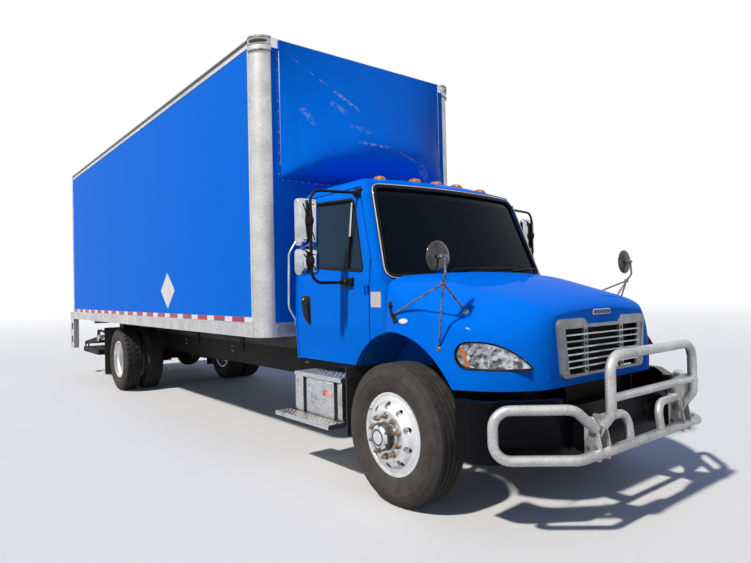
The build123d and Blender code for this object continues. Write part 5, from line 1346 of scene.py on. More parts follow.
def corner_post_details():
    face = BOX_HALF + 0.0022
    rivets = Form()
    strip = Form().block(BOX_HALF - 0.0005, face, POST_Y - 0.002, POST_Y + 0.030, 1.256, 3.874, 0.0008)
    for z in stepped(1.30, 3.86, 0.102):
        rivets.rivet((face, POST_Y + 0.017, z), OUT, 0.006, 0.003, 8)
    put_pair("post_flanges", strip, "galvanised", smooth=0)
    put_pair("post_rivets", rivets, "rail_alloy", smooth=60)
    turns = [math.pi / 2 * step / 14 for step in range(15)]
    cap = Form()
    for low, high, grow in ((3.836, 3.848, 0.0165), (3.956, 3.975, 0.0165), (3.894, 3.900, 0.0145)):
        far = POST_RADIUS + grow
        section = ((0.150, low), (far, low), (far, high), (0.150, high))
        cap.rings([[post_spot(turn, *corner) for corner in section] for turn in turns])
    put_pair("cap_ridges", cap, "cast_cap", smooth=40)
    dome = ((0.1655, 3.9755), (0.150, 3.9785), (0.080, 3.980), (0.010, 3.980))
    top = [[post_spot(turn, radius, z) for turn in turns] for radius, z in dome]
    put_pair("cap_tops", Form().rings(top, closed=False, ends=False), "cast_cap", smooth=40)
    lens = []
    for step in range(13):
        share = step / 12
        turn = math.radians(12 + 66 * share)
        tall = 0.019 * math.sin(math.pi * min(1.0, 0.12 + 0.88 * share)) ** 0.4
        section = ((0.160, -tall), (0.1705, -tall * 0.8), (0.1705, tall * 0.8), (0.160, tall))
        lens.append([post_spot(turn, radius, 3.925 + rise) for radius, rise in section])
    put_pair("cap_lamps", Form().rings(lens), "smoked_lens", smooth=30)


# x, reach and height of the nosecone's crest
NOSE_ROWS = (
    (0.0, 0.430, 2.990), (0.42, 0.400, 2.965), (0.76, 0.280, 2.870), (0.96, 0.140, 2.760),
    (1.060, 0.0, 2.680),
)
NOSE_HALF = 1.060
NOSE_LOW = 2.630
NOSE_HIGH = 3.958
NOSE_WALL = BOX_FRONT - 0.0003
NOSE_EDGE = 0.014
NOSE_BLEND = 0.16


def nose_row(x):
    """Reach and height of the crest, eased between the rows."""
    x = min(abs(x), NOSE_HALF)
    for low, high in zip(NOSE_ROWS, NOSE_ROWS[1:]):
        if x <= high[0]:
            share = (x - low[0]) / (high[0] - low[0])
            return low[1] + (high[1] - low[1]) * share, low[2] + (high[2] - low[2]) * share
    return NOSE_ROWS[-1][1:]


def smooth_row(x):
    """The crest averaged over seven places round an x."""
    reach = 0.0
    crest = 0.0
    for shift in (-0.09, -0.06, -0.03, 0.0, 0.03, 0.06, 0.09):
        one, two = nose_row(x + shift) if abs(x) < 0.97 else nose_row(x)
        reach += one / 7
        crest += two / 7
    return reach, crest


def soft_least(a, b, blend):
    """The lesser value, with a rounded corner where the two meet."""
    h = max(blend - abs(a - b), 0.0) / blend
    return min(a, b) - h * h * blend / 4


def nose_share(z, crest):
    """How far out the skin is at a height, as a share of the crest's reach."""
    if z >= crest:
        rise = (NOSE_HIGH - z) / (NOSE_HIGH - crest)
        lower = 1.0
    else:
        rise = 1.0 + (crest - z) * 0.3
        lower = math.sqrt(max(0.0, 1 - ((crest - z) / (crest - NOSE_LOW)) ** 2))
    upper = rise ** 1.08 if rise < 1 else rise
    if lower < 1 or rise > 0.8:
        return max(0.0, soft_least(upper, lower, NOSE_BLEND))
    return upper


def nosecone_form():
    """The moulded skin, as rows of points from low to high."""
    columns = 72
    rows = 56
    crests = []
    for column in range(columns + 1):
        x = -NOSE_HALF + 2 * NOSE_HALF * column / columns
        crests.append((x, *smooth_row(x)))
    rings = []
    for row in range(rows + 1):
        z = NOSE_LOW + (NOSE_HIGH - NOSE_LOW) * row / rows
        rings.append([
            (x, NOSE_WALL - NOSE_EDGE - reach * nose_share(z, crest), z) for x, reach, crest in crests
        ])
    return Form().rings(rings, closed=False, ends=False)


def nosecone_details():
    skin = nosecone_form()
    inside = NOSE_HALF - 0.0015
    edges = ((-NOSE_HALF, NOSE_HALF, NOSE_LOW - 0.001, NOSE_LOW + 0.001),
             (-NOSE_HALF, NOSE_HALF, NOSE_HIGH - 0.001, NOSE_HIGH),
             (-NOSE_HALF, -inside, NOSE_LOW, NOSE_HIGH), (inside, NOSE_HALF, NOSE_LOW, NOSE_HIGH))
    for x0, x1, z0, z1 in edges:
        skin.block(x0, x1, NOSE_WALL - NOSE_EDGE, NOSE_WALL, z0, z1, 0)
    nose = put("nosecone_skin", skin, "nose_paint", smooth=50)
    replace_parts(nose, "nosecone")
    border = Form()
    back = NOSE_WALL + 0.0005
    rivet_y = NOSE_WALL - 0.0032
    for x in (-1.0715, 1.0715):
        border.block(x - 0.011, x + 0.011, rivet_y, back, NOSE_LOW - 0.020, 3.870, 0.001)
    border.block(-1.082, 1.082, rivet_y, back, NOSE_LOW - 0.030, NOSE_LOW - 0.002, 0.001)
    put("nosecone_flange", border, "body_paint", smooth=0)
    bright = Form()
    for x in (-1.0605, 1.0605):
        bright.block(x - 0.0016, x + 0.0016, NOSE_WALL - 0.0150, NOSE_WALL - 0.0030, 2.75, 3.85, 0.0006)
    for z in stepped(NOSE_LOW + 0.04, 3.84, 0.10):
        for x in (-1.0735, 1.0735):
            bright.rivet((x, rivet_y, z), FORWARD, 0.005, 0.0025, 8)
    for x in stepped(-1.04, 1.05, 0.075):
        bright.rivet((x, rivet_y, NOSE_LOW - 0.016), FORWARD, 0.005, 0.0025, 8)
    put("nosecone_rivets", bright, "rail_alloy", smooth=60)


WALL_SEAMS = (-0.61, 0.0, 0.61)


def front_wall_details():
    strip = Form()
    strip.block(-1.143, 1.143, BOX_FRONT - 0.004, BOX_FRONT + 0.0005, 1.116, 1.250, 0.001)
    strip.block(-1.143, 1.143, BOX_FRONT - 0.010, BOX_FRONT - 0.003, 1.116, 1.124, 0.001)
    put("front_sill_strip", strip, "galvanised", smooth=0)
    rivets = Form()
    for row in (1.145, 1.220):
        for x in stepped(-1.12, 1.13, 0.09):
            rivets.rivet((x, BOX_FRONT - 0.004, row), FORWARD, 0.006, 0.003, 8)
    for x in WALL_SEAMS:
        for z in stepped(1.30, 2.57, 0.075):
            rivets.rivet((x, BOX_FRONT - 0.0012, z), FORWARD, 0.0045, 0.002, 8)
    put("front_wall_rivets", rivets, "rail_alloy", smooth=60)
    seams = Form()
    for x in WALL_SEAMS:
        seams.block(x - 0.022, x + 0.022, BOX_FRONT - 0.0012, BOX_FRONT + 0.0005, 1.252, 2.598, 0.0004)
    put("front_wall_seams", seams, "body_paint", smooth=0)


ROOF_SKIN = 3.9630


def roof_details():
    rivets = Form()
    for y in stepped(1.90, 9.58, 0.12):
        for x in (-1.225, 1.225):
            rivets.rivet((x, y, ROOF_SKIN), UPWARD, 0.006, 0.003, 6)
    put("roof_rivets", rivets, "rail_alloy", smooth=60)
    seams = Form()
    for y in (3.5, 5.3, 7.1, 8.9):
        seams.block(-1.235, 1.235, y - 0.014, y + 0.014, ROOF_SKIN, ROOF_SKIN + 0.0016, 0.0006)
    put("roof_seams", seams, "roof_sheet", smooth=0)


# The roll-up door: its face, its lower and upper end and its panels
DOOR_Y = BOX_REAR - 0.032
DOOR_LOW = 1.253
DOOR_HIGH = 3.971 - 0.230
DOOR_PANELS = 6


def roll_door_details():
    y = DOOR_Y
    pitch = (DOOR_HIGH - DOOR_LOW) / DOOR_PANELS
    hinges = Form()
    seals = Form()
    for number in range(1, DOOR_PANELS):
        z = DOOR_LOW + pitch * number
        for x in (-1.10, -0.55, 0.0, 0.55, 1.10):
            hinges.block(x - 0.030, x + 0.030, y - 0.0305, y - 0.0280, z - 0.04, z + 0.04, 0.001)
            hinges.tube([(x - 0.032, y - 0.034, z), (x + 0.032, y - 0.034, z)], 0.006, 8)
        seals.block(-1.184, 1.184, y - 0.004, y - 0.0022, z - 0.0028, z + 0.0028, 0)
    put("roll_door_hinges", hinges, "galvanised")
    seals.block(-1.184, 1.184, y - 0.026, y + 0.002, DOOR_LOW + 0.0005, DOOR_LOW + 0.022, 0.003)
    put("roll_door_seals", seals, "seal_rubber", smooth=0)
    z = DOOR_LOW + 0.26
    lock = Form().slab(panel(0.22, 0.11, 0.012), 0, 0.004, 0.001, facing((0, y, z), REARWARD))
    bar = ((-0.07, 0.006), (-0.07, 0.026), (0.07, 0.026), (0.07, 0.006))
    lock.tube([(x, y + rise, z + 0.01) for x, rise in bar], 0.007, 10, 0.012)
    lock.block(-0.016, 0.016, y + 0.003, y + 0.018, DOOR_LOW + 0.006, z - 0.05, 0.002)
    for x in (-0.095, 0.095):
        for rise in (-0.04, 0.04):
            lock.rivet((x, y + 0.004, z + rise), REARWARD, 0.005, 0.003, 8)
    put("roll_door_latch", lock, "galvanised")
    strap = [(0.45, y + 0.003, DOOR_LOW + 0.20), (0.45, y + 0.016, DOOR_LOW + 0.16),
             (0.455, y + 0.012, DOOR_LOW + 0.02), (0.46, y + 0.008, DOOR_LOW + 0.014)]
    put("door_pull_strap", Form().tube(strap, 0.006, 6, 0.02), "seal_rubber")


def rear_frame_details():
    y = BOX_REAR
    post = Form()
    for x in (-1.241, 1.241):
        for z in (1.55, 2.45):
            post.block(x - 0.014, x + 0.014, y - 0.0005, y + 0.0030, z - 0.07, z + 0.07, 0.001)
        for z in (1.20, 1.90, 2.80, 3.60):
            post.bolt((x, y + 0.0005, z), REARWARD, 0.008, 0.006)
    put("rear_post_hardware", post, "bare_steel")
    tape = Form()
    bars = Form()
    strips = []
    for number in range(6):
        x = 0.30 + 0.15 * number
        strips.append((x, x + 0.15, 1.175, 1.225, number % 2))
    strips += [(1.19, 1.285, 3.80, 3.85, 0), (1.25, 1.285, 3.55, 3.80, 0)]
    bar = ((0.002, 1.95), (0.075, 1.95), (0.075, 1.50), (0.002, 1.50))
    for side in SIDES:
        for x0, x1, low, high, look in strips:
            tape.look = look
            tape.block(side * x0, side * x1, y - 0.0005, y + 0.0008, low, high, 0)
        bars.tube([(side * 1.255, y + rise, z) for rise, z in bar], 0.010, 10, 0.04)
    put("rear_tape", tape, ["tape_white", "tape_red"], smooth=0)
    put("rear_grab_bars", bars, "galvanised")


STEP_END = 9.988
STEP_TOP = 1.245


def rear_step_details():
    grip = Form()
    for row in range(5):
        y = BOX_REAR + 0.045 + 0.046 * row
        for x in stepped(-1.25, 1.26, 0.052):
            grip.lathe([(0, 0.011), (0.003, 0.009), (0.0035, 0.006)], Matrix.Translation((x, y, STEP_TOP)), 7)
    put("step_grip_studs", grip, "galvanised", smooth=0)
    bumpers = Form()
    for x in (-1.248, 1.248):
        bumpers.block(x - 0.034, x + 0.034, STEP_END + 0.0003, STEP_END + 0.013, 0.62, 1.08, 0.006)
        for z in (0.68, 0.85, 1.02):
            bumpers.bolt((x, STEP_END + 0.011, z), REARWARD, 0.009, 0.006)
    put("dock_bumpers", bumpers, "flap_rubber")
    rims = Form()
    for x in (-1.20, -1.06, 1.06, 1.20):
        rim = [(0, 0.052), (0.010, 0.052), (0.014, 0.048), (0.014, 0.043), (0.010, 0.042)]
        rims.lathe(rim, facing((x, STEP_END + 0.0003, 1.193), REARWARD), 32)
    put("tail_lamp_rims", rims, "seal_rubber", smooth=40)
    lights = Form()
    for x in (-0.77, -0.63):
        lights.block(x - 0.018, x + 0.018, STEP_END - 0.002, STEP_END + 0.014, 1.146, 1.162, 0.003)
    put("plate_lights", lights, "black_plastic")


def gate_details():
    """Grip plate, hinge, pins, pump box and hoses of the lift gate."""
    low_y = BOX_REAR - 1.493
    high_y = BOX_REAR - 0.293 - 0.040
    top = 0.575
    ribs = Form()
    for row, x in enumerate(stepped(-1.15, 1.16, 0.046)):
        for y in stepped(low_y + 0.05 + 0.03 * (row % 2), high_y - 0.04, 0.075):
            ribs.block(x - 0.004, x + 0.004, y, y + 0.030, top, top + 0.0022, 0)
    put("platform_grip", ribs, "black_paint", "gate_platform_body", 0)
    hinge = Form()
    for x in (-0.95, -0.35, 0.35, 0.95):
        hinge.tube([(x - 0.06, low_y, 0.530), (x + 0.06, low_y, 0.530)], 0.0145, 12)
    put("platform_hinges", hinge, "bare_steel", "gate_platform_body")
    for name, x, y, z, body in (("gate_pin_caps", 1.153, 8.450, 0.760, "chassis_body"),
                                ("platform_pin_caps", 1.150, 9.420, 0.640, "gate_platform_body")):
        pins = Form()
        for side in SIDES:
            spot = facing((side * x, y, z), (side, 0, 0))
            pins.lathe([(0, 0.022), (0.008, 0.022), (0.011, 0.017)], spot, 18)
        put(name, pins, "bare_steel", body)
    box = Form().block(-0.98, -0.72, 7.35, 7.62, 0.905, 1.070, 0.006)
    for x in (-0.94, -0.76):
        box.bolt((x, 7.6205, 1.03), REARWARD, 0.006, 0.005)
    put("gate_pump_box", box, "black_paint")
    hose = Form()
    for side in SIDES:
        path = [(-0.80, 7.60, 0.94), (side * 0.90, 7.70, 0.955), (side * 1.06, 7.84, 0.945)]
        hose.tube(path, 0.008, 8, 0.08)
    put("gate_hoses", hose, "seal_rubber")


# Inner, outer, front and rear edge, height and stud rows of each step's tread
STEP_TREADS = ((0.902, 1.138, 0.652, 1.361, 0.8322, 5), (1.092, 1.238, 0.694, 1.546, 0.4672, 3))
# x, front and rear end, foot and top of each step's lip
STEP_LIPS = ((1.140, 0.648, 1.365, 0.797, 0.832), (1.240, 0.690, 1.550, 0.430, 0.467))
TANK_SIDE = 1.1002


def step_details():
    """Tread plates, straps and the tank's seams on the left; the right is its mirror image."""
    treads = Form()
    for x0, x1, y0, y1, top, rows in STEP_TREADS:
        wide = (x1 - x0) / rows
        for row in range(rows):
            x = x0 + wide * (row + 0.5)
            treads.block(x - 0.004, x + 0.004, y0 + 0.004, y1 - 0.004, top - 0.001, top + 0.0018, 0)
            for number, y in enumerate(stepped(y0 + 0.02, y1 - 0.015, 0.028)):
                shift = 0.25 * wide * (1 if number % 2 else -1)
                treads.lathe([(0, 0.0065), (0.0025, 0.0055), (0.0035, 0.0035)],
                             Matrix.Translation((x + shift, y, top)), 6)
    put_pair("step_treads", treads, "tread_steel", smooth=0)
    lips = Form()
    for x, y0, y1, low, high in STEP_LIPS:
        for z0, z1 in ((low + 0.001, low + 0.004), (high - 0.005, high - 0.001)):
            lips.block(x - 0.0005, x + 0.0015, y0 + 0.002, y1 - 0.002, z0, z1, 0.0005)
        for y in stepped(y0 + 0.05, y1, 0.06):
            hole = [(0.0002, 0.007), (0.0012, 0.007), (0.0012, 0.005)]
            lips.lathe(hole, facing((x, y, (low + high) / 2), OUT), 12)
    put_pair("step_lips", lips, "tread_steel", smooth=0)
    straps = Form()
    for y in (0.760, 1.240):
        straps.block(1.1005, 1.1045, y - 0.002, y + 0.042, 0.4685, 0.796, 0.001)
        for z in (0.775, 0.490):
            straps.bolt((1.1045, y + 0.020, z), OUT, 0.008, 0.007)
    put_pair("tank_straps", straps, "black_paint")
    seams = Form()
    for y in (0.715, 0.985, 1.018, 1.395):
        seams.block(1.0990, 1.1014, y - 0.003, y + 0.003, 0.502, 0.758, 0.0005)
    put_pair("tank_seams", seams, "tank_alloy", smooth=0)
    handle = Form().slab(panel(0.10, 0.06, 0.012), 0, 0.005, 0.0015, facing((TANK_SIDE, 1.12, 0.62), OUT))
    grip = [(x, y, 0.62) for x, y in ((1.104, 1.085), (1.116, 1.095), (1.116, 1.145), (1.104, 1.155))]
    handle.tube(grip, 0.005, 8, 0.01)
    put_pair("tank_latch", handle, "chrome")
    spot = facing((TANK_SIDE, 0.900, 0.680), OUT)
    sticker = Form().slab(panel(0.150, 0.052, 0.006), 0.0002, 0.0010, 0.0, spot)
    put_pair("blank_sticker", sticker, "sticker_red", smooth=0)


def axle_fittings():
    """Spring clamps and brake chambers of the axles."""
    springs = Form()
    for axle_y, low, high in ((0.0, 0.430, 0.540), (REAR_AXLE_Y, 0.427, 0.650)):
        for y in (axle_y - 0.055, axle_y + 0.055):
            for x in (0.392 - 0.046, 0.392 + 0.046):
                springs.tube([(x, y, low - 0.015), (x, y, high)], 0.008, 8)
                springs.bolt((x, y, high - 0.002), UPWARD, 0.011, 0.012)
    put_pair("spring_clamps", springs, "bare_steel")
    chambers = Form()
    can = [(0, 0.040), (0.010, 0.068), (0.050, 0.078), (0.056, 0.086), (0.070, 0.086), (0.076, 0.078),
           (0.120, 0.072), (0.135, 0.050)]
    for place in ((0.62, 6.70, 0.62), (0.56, -0.20, 0.62)):
        spot = facing(place, (0.25, -1, 0.15))
        chambers.lathe(can, spot, 24)
        for x, y in circle(0.086, 2):
            chambers.bolt(spot @ Vector((x, y, 0.058)), spot.col[2].xyz, 0.007, 0.010)
    put_pair("brake_chambers", chambers, "black_paint")


def air_system():
    tanks = Form()
    ends = [(0, 0.02), (0.010, 0.070), (0.030, 0.108), (0.055, 0.120), (0.72, 0.120), (0.745, 0.108),
            (0.765, 0.070), (0.775, 0.02)]
    for y in (3.3, 4.7):
        place = facing((0.62, y, 0.76), REARWARD)
        tanks.lathe(ends, place, 28)
        for offset in (0.16, 0.60):
            tanks.lathe([(offset, 0.1235), (offset + 0.032, 0.1235)], place, 28, False)
            tanks.block(0.431, 0.52, y + offset, y + offset + 0.032, 0.735, 0.785, 0.002)
        tanks.tube([(0.62, y + 0.05, 0.645), (0.62, y + 0.05, 0.630)], 0.010, 8)
    put("air_tanks", tanks, "black_paint")
    lines = Form()
    for z, radius in ((0.865, 0.007), (0.845, 0.006), (0.825, 0.008)):
        for x in (-0.412, 0.412):
            lines.tube([(x, 1.5, z), (x, 3.2, z - 0.004), (x, 6.0, z), (x, 8.2, z - 0.003)], radius, 6)
    rear = ((0.412, 6.35, 0.80), (0.50, 6.50, 0.72), (0.60, 6.62, 0.66))
    front = ((0.435, -0.30, 0.74), (0.50, -0.30, 0.70), (0.56, -0.24, 0.66))
    for side in SIDES:
        lines.tube([(side * x, y, z) for x, y, z in rear], 0.008, 6, 0.1)
        lines.tube([(side * x, y, z) for x, y, z in front], 0.008, 6, 0.05)
    put("air_lines", lines, "seal_rubber", smooth=60)


def drive_line():
    joints = Form()
    slope = (0, 1, -0.03)
    front = [(-0.07, 0.052), (-0.04, 0.066), (0.04, 0.066), (0.07, 0.052)]
    joints.lathe(front, facing((0, 1.32, 0.688), slope), 20)
    rear = [(-0.08, 0.050), (-0.05, 0.072), (0.05, 0.072), (0.08, 0.056)]
    joints.lathe(rear, facing((0, 6.66, 0.516), slope), 20)
    for y in (3.0, 3.06):
        share = (y - 1.25) / (6.72 - 1.25)
        joints.lathe([(-0.02, 0.052), (0.02, 0.052)], facing((0, y, 0.69 - 0.183 * share), slope), 20)
    put("shaft_joints", joints, "cast_dark")
    bowl = Form()
    for x, z in circle(0.150, 10):
        bowl.bolt((x, 7.112, 0.507 + z), REARWARD, 0.009, 0.010)
    bowl.lathe([(0, 0.165), (0.010, 0.165), (0.030, 0.150), (0.055, 0.110), (0.062, 0.03)],
               facing((0, 7.100, 0.507), REARWARD), 32)
    put("axle_cover", bowl, "black_paint")
    shocks = Form()
    rods = (((0.50, 0.16, 0.47), (0.475, 0.30, 0.80), 0.030, 14),
            ((0.50, 0.155, 0.455), (0.47, 0.32, 0.84), 0.012, 10),
            ((0.425, 0.32, 0.835), (0.49, 0.32, 0.835), 0.014, 10))
    for side in SIDES:
        for start, end, radius, steps in rods:
            shocks.tube([(side * x, y, z) for x, y, z in (start, end)], radius, steps)
    put("front_shocks", shocks, "black_paint")


FRAME_SIDE = 0.4305


def frame_fittings():
    bolts = Form()
    for y in (1.4, 2.3, 4.2, 5.9):
        for side in SIDES:
            for z in (0.77, 0.83):
                for bolt_y in (y - 0.02, y + 0.02):
                    bolts.bolt((side * (FRAME_SIDE - 0.0003), bolt_y, z), (side, 0, 0), 0.010, 0.008)
    put("frame_bolts", bolts, "bare_steel")
    clamps = Form()
    outer = FRAME_SIDE + 0.010
    for y in (2.0, 3.9, 5.4, 8.6):
        for side in SIDES:
            clamps.block(side * FRAME_SIDE, side * outer, y - 0.05, y + 0.05, 0.79, 1.02, 0.002)
            for bolt_y, z in ((y - 0.03, 0.86), (y + 0.03, 0.86), (y, 0.97)):
                clamps.bolt((side * outer, bolt_y, z), (side, 0, 0), 0.009, 0.008)
    put("body_clamps", clamps, "black_paint")


def engine_fittings():
    engine = Form()
    for number in range(6):
        y = -0.52 + 0.105 * number
        for x in (-0.308, 0.308):
            engine.block(x - 0.010, x + 0.010, y - 0.035, y + 0.035, 1.05, 1.16, 0.006)
    for number in range(3):
        y = 0.2 * number
        engine.tube([(0.30, -0.45 + y, 1.12), (0.36, -0.44 + y, 1.14), (0.38, -0.38 + y, 1.20),
                     (0.34, -0.30 + y, 1.26)], 0.022, 10, 0.04)
    engine.lathe([(0, 0.10), (0.02, 0.14), (0.06, 0.14), (0.08, 0.06)], facing((0, -0.62, 0.86), FORWARD), 28)
    put("engine_fittings", engine, "cast_dark")
    fins = Form()
    for number in range(34):
        x = -0.34 + 0.68 * number / 33
        fins.block(x - 0.0012, x + 0.0012, -0.8085, -0.8045, 0.73, 1.27, 0)
    put("radiator_fins", fins, "bare_steel", smooth=0)


def flap_bars():
    hangers = Form()
    for side in SIDES:
        for x in (0.70, 0.90, 1.10):
            hangers.bolt((side * x, 7.712, 0.965), REARWARD, 0.008, 0.006)
        hangers.block(side * 0.62, side * 1.21, 7.7125, 7.7165, 0.945, 0.985, 0.001)
    put("flap_bars", hangers, "bare_steel")


# Height over the seat's base and inset of the cushion's rings
CUSHION_LEVELS = (
    (0.0, 0.012), (0.02, 0.0), (0.09, 0.0), (0.118, 0.012), (0.126, 0.035), (0.122, 0.055), (0.127, 0.065),
)
# Depth and inset of the backrest's rings
BACKREST_LEVELS = (
    (0.045, 0.03), (0.040, 0.006), (0.020, 0.0), (-0.030, 0.0), (-0.048, 0.014), (-0.054, 0.035),
    (-0.050, 0.055), (-0.055, 0.068),
)


def cab_inside_details():
    seats = Form()
    cushion = panel(0.50, 0.42, 0.07, 6)
    back = rounded([(-0.235, 0.0), (0.235, 0.0), (0.225, 0.63), (-0.225, 0.63)], 0.09, 6)
    for x in (-0.5, 0.5):
        rings = [[(a, b, z) for a, b in inset(cushion, shrink)] for z, shrink in CUSHION_LEVELS]
        rings.append([(a * 0.35, b * 0.35, 0.128) for a, b in cushion])
        seats.rings(rings, Matrix.Translation((x, 1.112, 1.232)))
        lean = Matrix.Translation((x, 1.395, 1.305)) @ Matrix.Rotation(math.radians(-6.0), 4, "X")
        seats.rings([[(a, y, b) for a, b in inset(back, shrink)] for y, shrink in BACKREST_LEVELS], lean)
        seats.block(x - 0.16, x + 0.16, 0.95, 1.30, 0.976, 1.20, 0.01)
    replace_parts(put("seat_cushions", seats, "seat_cloth", smooth=50), "seats")
    belts = Form()
    for side in SIDES:
        x = side * 0.74
        belts.tube([(x, 1.425, 2.10), (x, 1.420, 1.50), (x, 1.40, 1.10)], 0.012, 6)
        belts.block(x - 0.03, x + 0.03, 1.42, 1.45, 2.06, 2.14, 0.006)
    put("seat_belts", belts, "cab_trim")
    dash = Form()
    hood_outline = [(0.330, 1.575), (0.470, 1.545), (0.500, 1.590), (0.470, 1.625), (0.350, 1.650)]
    rings = []
    for x, scale in ((0.30, 0.9), (0.32, 1.0), (0.68, 1.0), (0.70, 0.9)):
        rings.append([(x, 0.41 + (y - 0.41) * scale, 1.60 + (z - 1.60) * scale) for y, z in hood_outline])
    dash.rings(rings)
    for x in (-0.75, -0.35, 0.05, 0.82):
        dash.block(x - 0.06, x + 0.06, 0.490, 0.512, 1.495, 1.535, 0.006)
    dash.block(-0.62, -0.20, 0.505, 0.518, 1.39, 1.46, 0.008)
    dash.block(-0.08, 0.20, 0.500, 0.516, 1.40, 1.53, 0.008)
    put("dash_fittings", dash, "cab_trim", smooth=30)
    dials = Form()
    for x in (0.40, 0.50, 0.60):
        dials.lathe([(0, 0.036), (0.004, 0.036), (0.005, 0.031), (0.002, 0.028)],
                    facing((x, 0.507, 1.588), (0, 0.9, 0.3)), 20)
    put("dials", dials, "chrome")
    lever = Form()
    lever.tube([(0.12, 0.90, 0.976), (0.13, 0.84, 1.20), (0.14, 0.80, 1.32)], 0.010, 8, 0.1)
    knob = [(0, 0.016), (0.02, 0.026), (0.045, 0.026), (0.06, 0.012)]
    lever.lathe(knob, facing((0.14, 0.80, 1.31), UPWARD), 16)
    lever.lathe([(0, 0.075), (0.03, 0.055), (0.07, 0.020)], facing((0.12, 0.90, 0.976), UPWARD), 16)
    put("gear_lever", lever, "cab_trim")
    visors = Form()
    for x0, x1 in ((-0.72, -0.08), (0.08, 0.72)):
        visors.block(x0, x1, 0.640, 0.655, 2.235, 2.375, 0.005)
    put("sun_visors", visors, "cab_trim")


def roof_lamp_details():
    """Five amber lamps along the roof's front edge."""
    lamps = Form()
    base = panel(0.084, 0.110, 0.030, 5)
    levels = ((-0.012, 0.0), (0.014, 0.001), (0.030, 0.006), (0.042, 0.015), (0.048, 0.028))
    rings = [
        [(a, b + shrink * 0.8, rise) for a, b in (inset(base, shrink) if shrink else base)]
        for rise, shrink in levels
    ]
    for place in ((-0.645, 0.700, 2.480), (-0.269, 0.665, 2.490), (0, 0.660, 2.490), (0.269, 0.665, 2.490),
                  (0.645, 0.700, 2.480)):
        lamps.rings(rings, Matrix.Translation(place))
    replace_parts(put("roof_lamp_covers", lamps, "amber_lens", smooth=40), "roof_lamps")


def handle_details():
    """Feet of the grab handles, laid on the cab's skin."""
    tree = skin_of("cab_shell")
    feet = Form()
    for start in ((1.32, 1.469, 2.040), (1.345, 1.487, 1.262)):
        hit, normal = cast(tree, start, (-1, 0, 0))
        if hit is not None:
            feet.slab(panel(0.044, 0.060, 0.010), 0, 0.008, 0.003, facing(hit, normal))
    put_pair("grab_handle_feet", feet, "chrome")


# Stage


def stage_piece(name, data):
    """An object of the stage, not of the truck."""
    made = bpy.data.objects.new(name, data)
    bpy.context.scene.collection.objects.link(made)
    return made


def area_lamp(name, place, aim, size, power):
    data = bpy.data.lights.new(name, "AREA")
    data.shape = "RECTANGLE"
    data.size, data.size_y = size
    data.energy = power
    lamp = stage_piece(name, data)
    lamp.location = place
    lamp.rotation_euler = (Vector(aim) - Vector(place)).to_track_quat("-Z", "Y").to_euler()


def seen_ray(tree):
    """1 for rays that show the backdrop: straight, in metal or through glass."""
    path = tree.nodes.new("ShaderNodeLightPath")
    value = path.outputs["Is Camera Ray"]
    for name in ("Is Glossy Ray", "Is Transmission Ray"):
        either = tree.nodes.new("ShaderNodeMath")
        either.operation = "MAXIMUM"
        tree.links.new(value, either.inputs[0])
        tree.links.new(path.outputs[name], either.inputs[1])
        value = either.outputs["Value"]
    return value


def make_world():
    """Sky light of a blue day; the camera sees plain white."""
    world = bpy.data.worlds.new("studio")
    world.use_nodes = True
    nodes = world.node_tree.nodes
    links = world.node_tree.links
    sky = nodes["Background"]
    split = nodes.new("ShaderNodeSeparateXYZ")
    links.new(nodes.new("ShaderNodeTexCoord").outputs["Generated"], split.inputs["Vector"])
    fade = nodes.new("ShaderNodeValToRGB")
    fade.color_ramp.elements[0].color = (0.50, 0.58, 0.72, 1)
    fade.color_ramp.elements[1].color = (0.15, 0.3, 0.7, 1)
    fade.color_ramp.elements[1].position = 0.75
    links.new(split.outputs["Z"], fade.inputs["Fac"])
    links.new(fade.outputs["Color"], sky.inputs["Color"])
    sky.inputs["Strength"].default_value = 0.42
    plain = nodes.new("ShaderNodeBackground")
    plain.inputs["Color"].default_value = (1, 1, 1, 1)
    plain.inputs["Strength"].default_value = 1.0
    choose = nodes.new("ShaderNodeMixShader")
    links.new(seen_ray(world.node_tree), choose.inputs["Fac"])
    links.new(sky.outputs["Background"], choose.inputs[1])
    links.new(plain.outputs["Background"], choose.inputs[2])
    links.new(choose.outputs["Shader"], nodes["World Output"].inputs["Surface"])
    bpy.context.scene.world = world


def make_lamps():
    sun = bpy.data.lights.new("sun", "SUN")
    sun.energy = 3.4
    sun.angle = math.radians(3)
    sun.color = (1.0, 0.96, 0.9)
    lamp = stage_piece("sun", sun)
    lamp.rotation_euler = Vector((0.64, 0.06, -0.77)).to_track_quat("-Z", "Y").to_euler()
    area_lamp("front_fill", (-6.0, -14.0, 6.0), (0, -3.0, 1.5), (8, 5), 25.0)


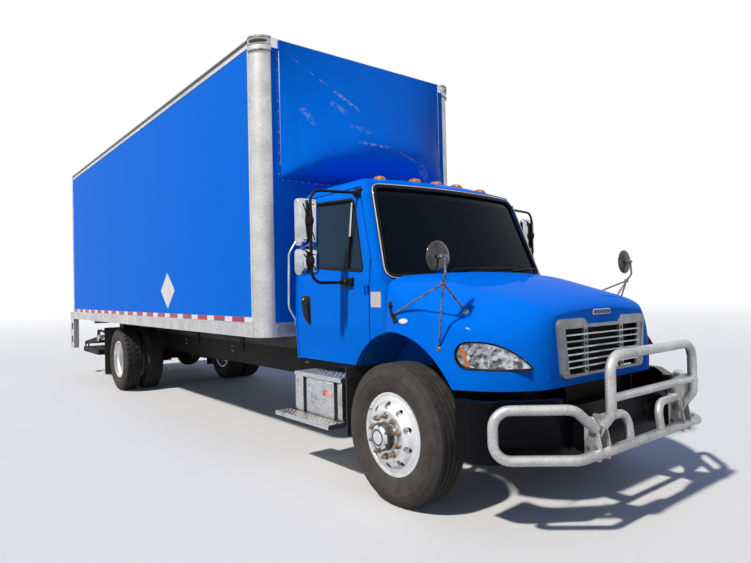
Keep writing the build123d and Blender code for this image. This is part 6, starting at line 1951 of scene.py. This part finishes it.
def make_floor():
    """Pale floor that fades into the white backdrop."""
    floor = bpy.data.meshes.new("floor")
    reach = 60.0
    corners = [(-reach, -reach, 0), (reach, -reach, 0), (reach, reach, 0), (-reach, reach, 0)]
    floor.from_pydata(corners, [], [(0, 1, 2, 3)])
    stage_piece("floor", floor)
    look = Look("floor")
    pale = look.mix(look.noise(0.6, 4.0), (0.75, 0.74, 0.72), (0.79, 0.78, 0.76))
    look.colour(look.mix(seen_ray(look.tree), (0.20, 0.195, 0.19), pale))
    look.put("Roughness", 0.85)
    far = look.new("ShaderNodeVectorMath", operation="LENGTH")
    look.link(look.place, far.inputs[0])
    glow = look.new("ShaderNodeEmission")
    blend = look.new("ShaderNodeMixShader")
    look.link(look.spread(far.outputs["Value"], 9.0, 45.0), blend.inputs["Fac"])
    look.link(look.shader.outputs["BSDF"], blend.inputs[1])
    look.link(glow.outputs["Emission"], blend.inputs[2])
    look.link(blend.outputs["Shader"], look.tree.nodes["Material Output"].inputs["Surface"])
    floor.materials.append(look.material)


def make_camera():
    yaw = CAMERA_YAW
    pitch = CAMERA_PITCH
    ahead = Vector((math.sin(yaw) * math.cos(pitch), math.cos(yaw) * math.cos(pitch), math.sin(pitch)))
    level = Vector((math.cos(yaw), -math.sin(yaw), 0))
    upright = level.cross(ahead)
    right = level * math.cos(CAMERA_ROLL) + upright * math.sin(CAMERA_ROLL)
    up = upright * math.cos(CAMERA_ROLL) - level * math.sin(CAMERA_ROLL)
    data = bpy.data.cameras.new("photo_camera")
    data.sensor_width = 36
    data.lens = CAMERA_LENS
    data.clip_end = 300
    camera = bpy.data.objects.new("photo_camera", data)
    turn = Matrix((right, up, -ahead)).transposed().to_4x4()
    camera.matrix_world = Matrix.Translation(at(*CAMERA_PLACE)) @ turn
    bpy.context.scene.collection.objects.link(camera)
    bpy.context.scene.camera = camera
    bpy.context.scene.view_settings.view_transform = "Standard"


make_looks()
dress_nodes()
for add_details in (
    front_wheel_details, rear_wheel_details, cab_trim, wipers, door_hardware, cowl_plate, cab_inside_details,
    roof_lamp_details, handle_details, headlamp_details, hood_details, grille_details, hood_mirror_details,
    mirror_details, guard_details, bumper_details, step_details, box_side_details, corner_post_details,
    nosecone_details, front_wall_details, roof_details, roll_door_details, rear_frame_details,
    rear_step_details, gate_details, axle_fittings, air_system, drive_line, frame_fittings, engine_fittings,
    flap_bars,
):
    add_details()
make_world()
make_lamps()
make_floor()
make_camera()
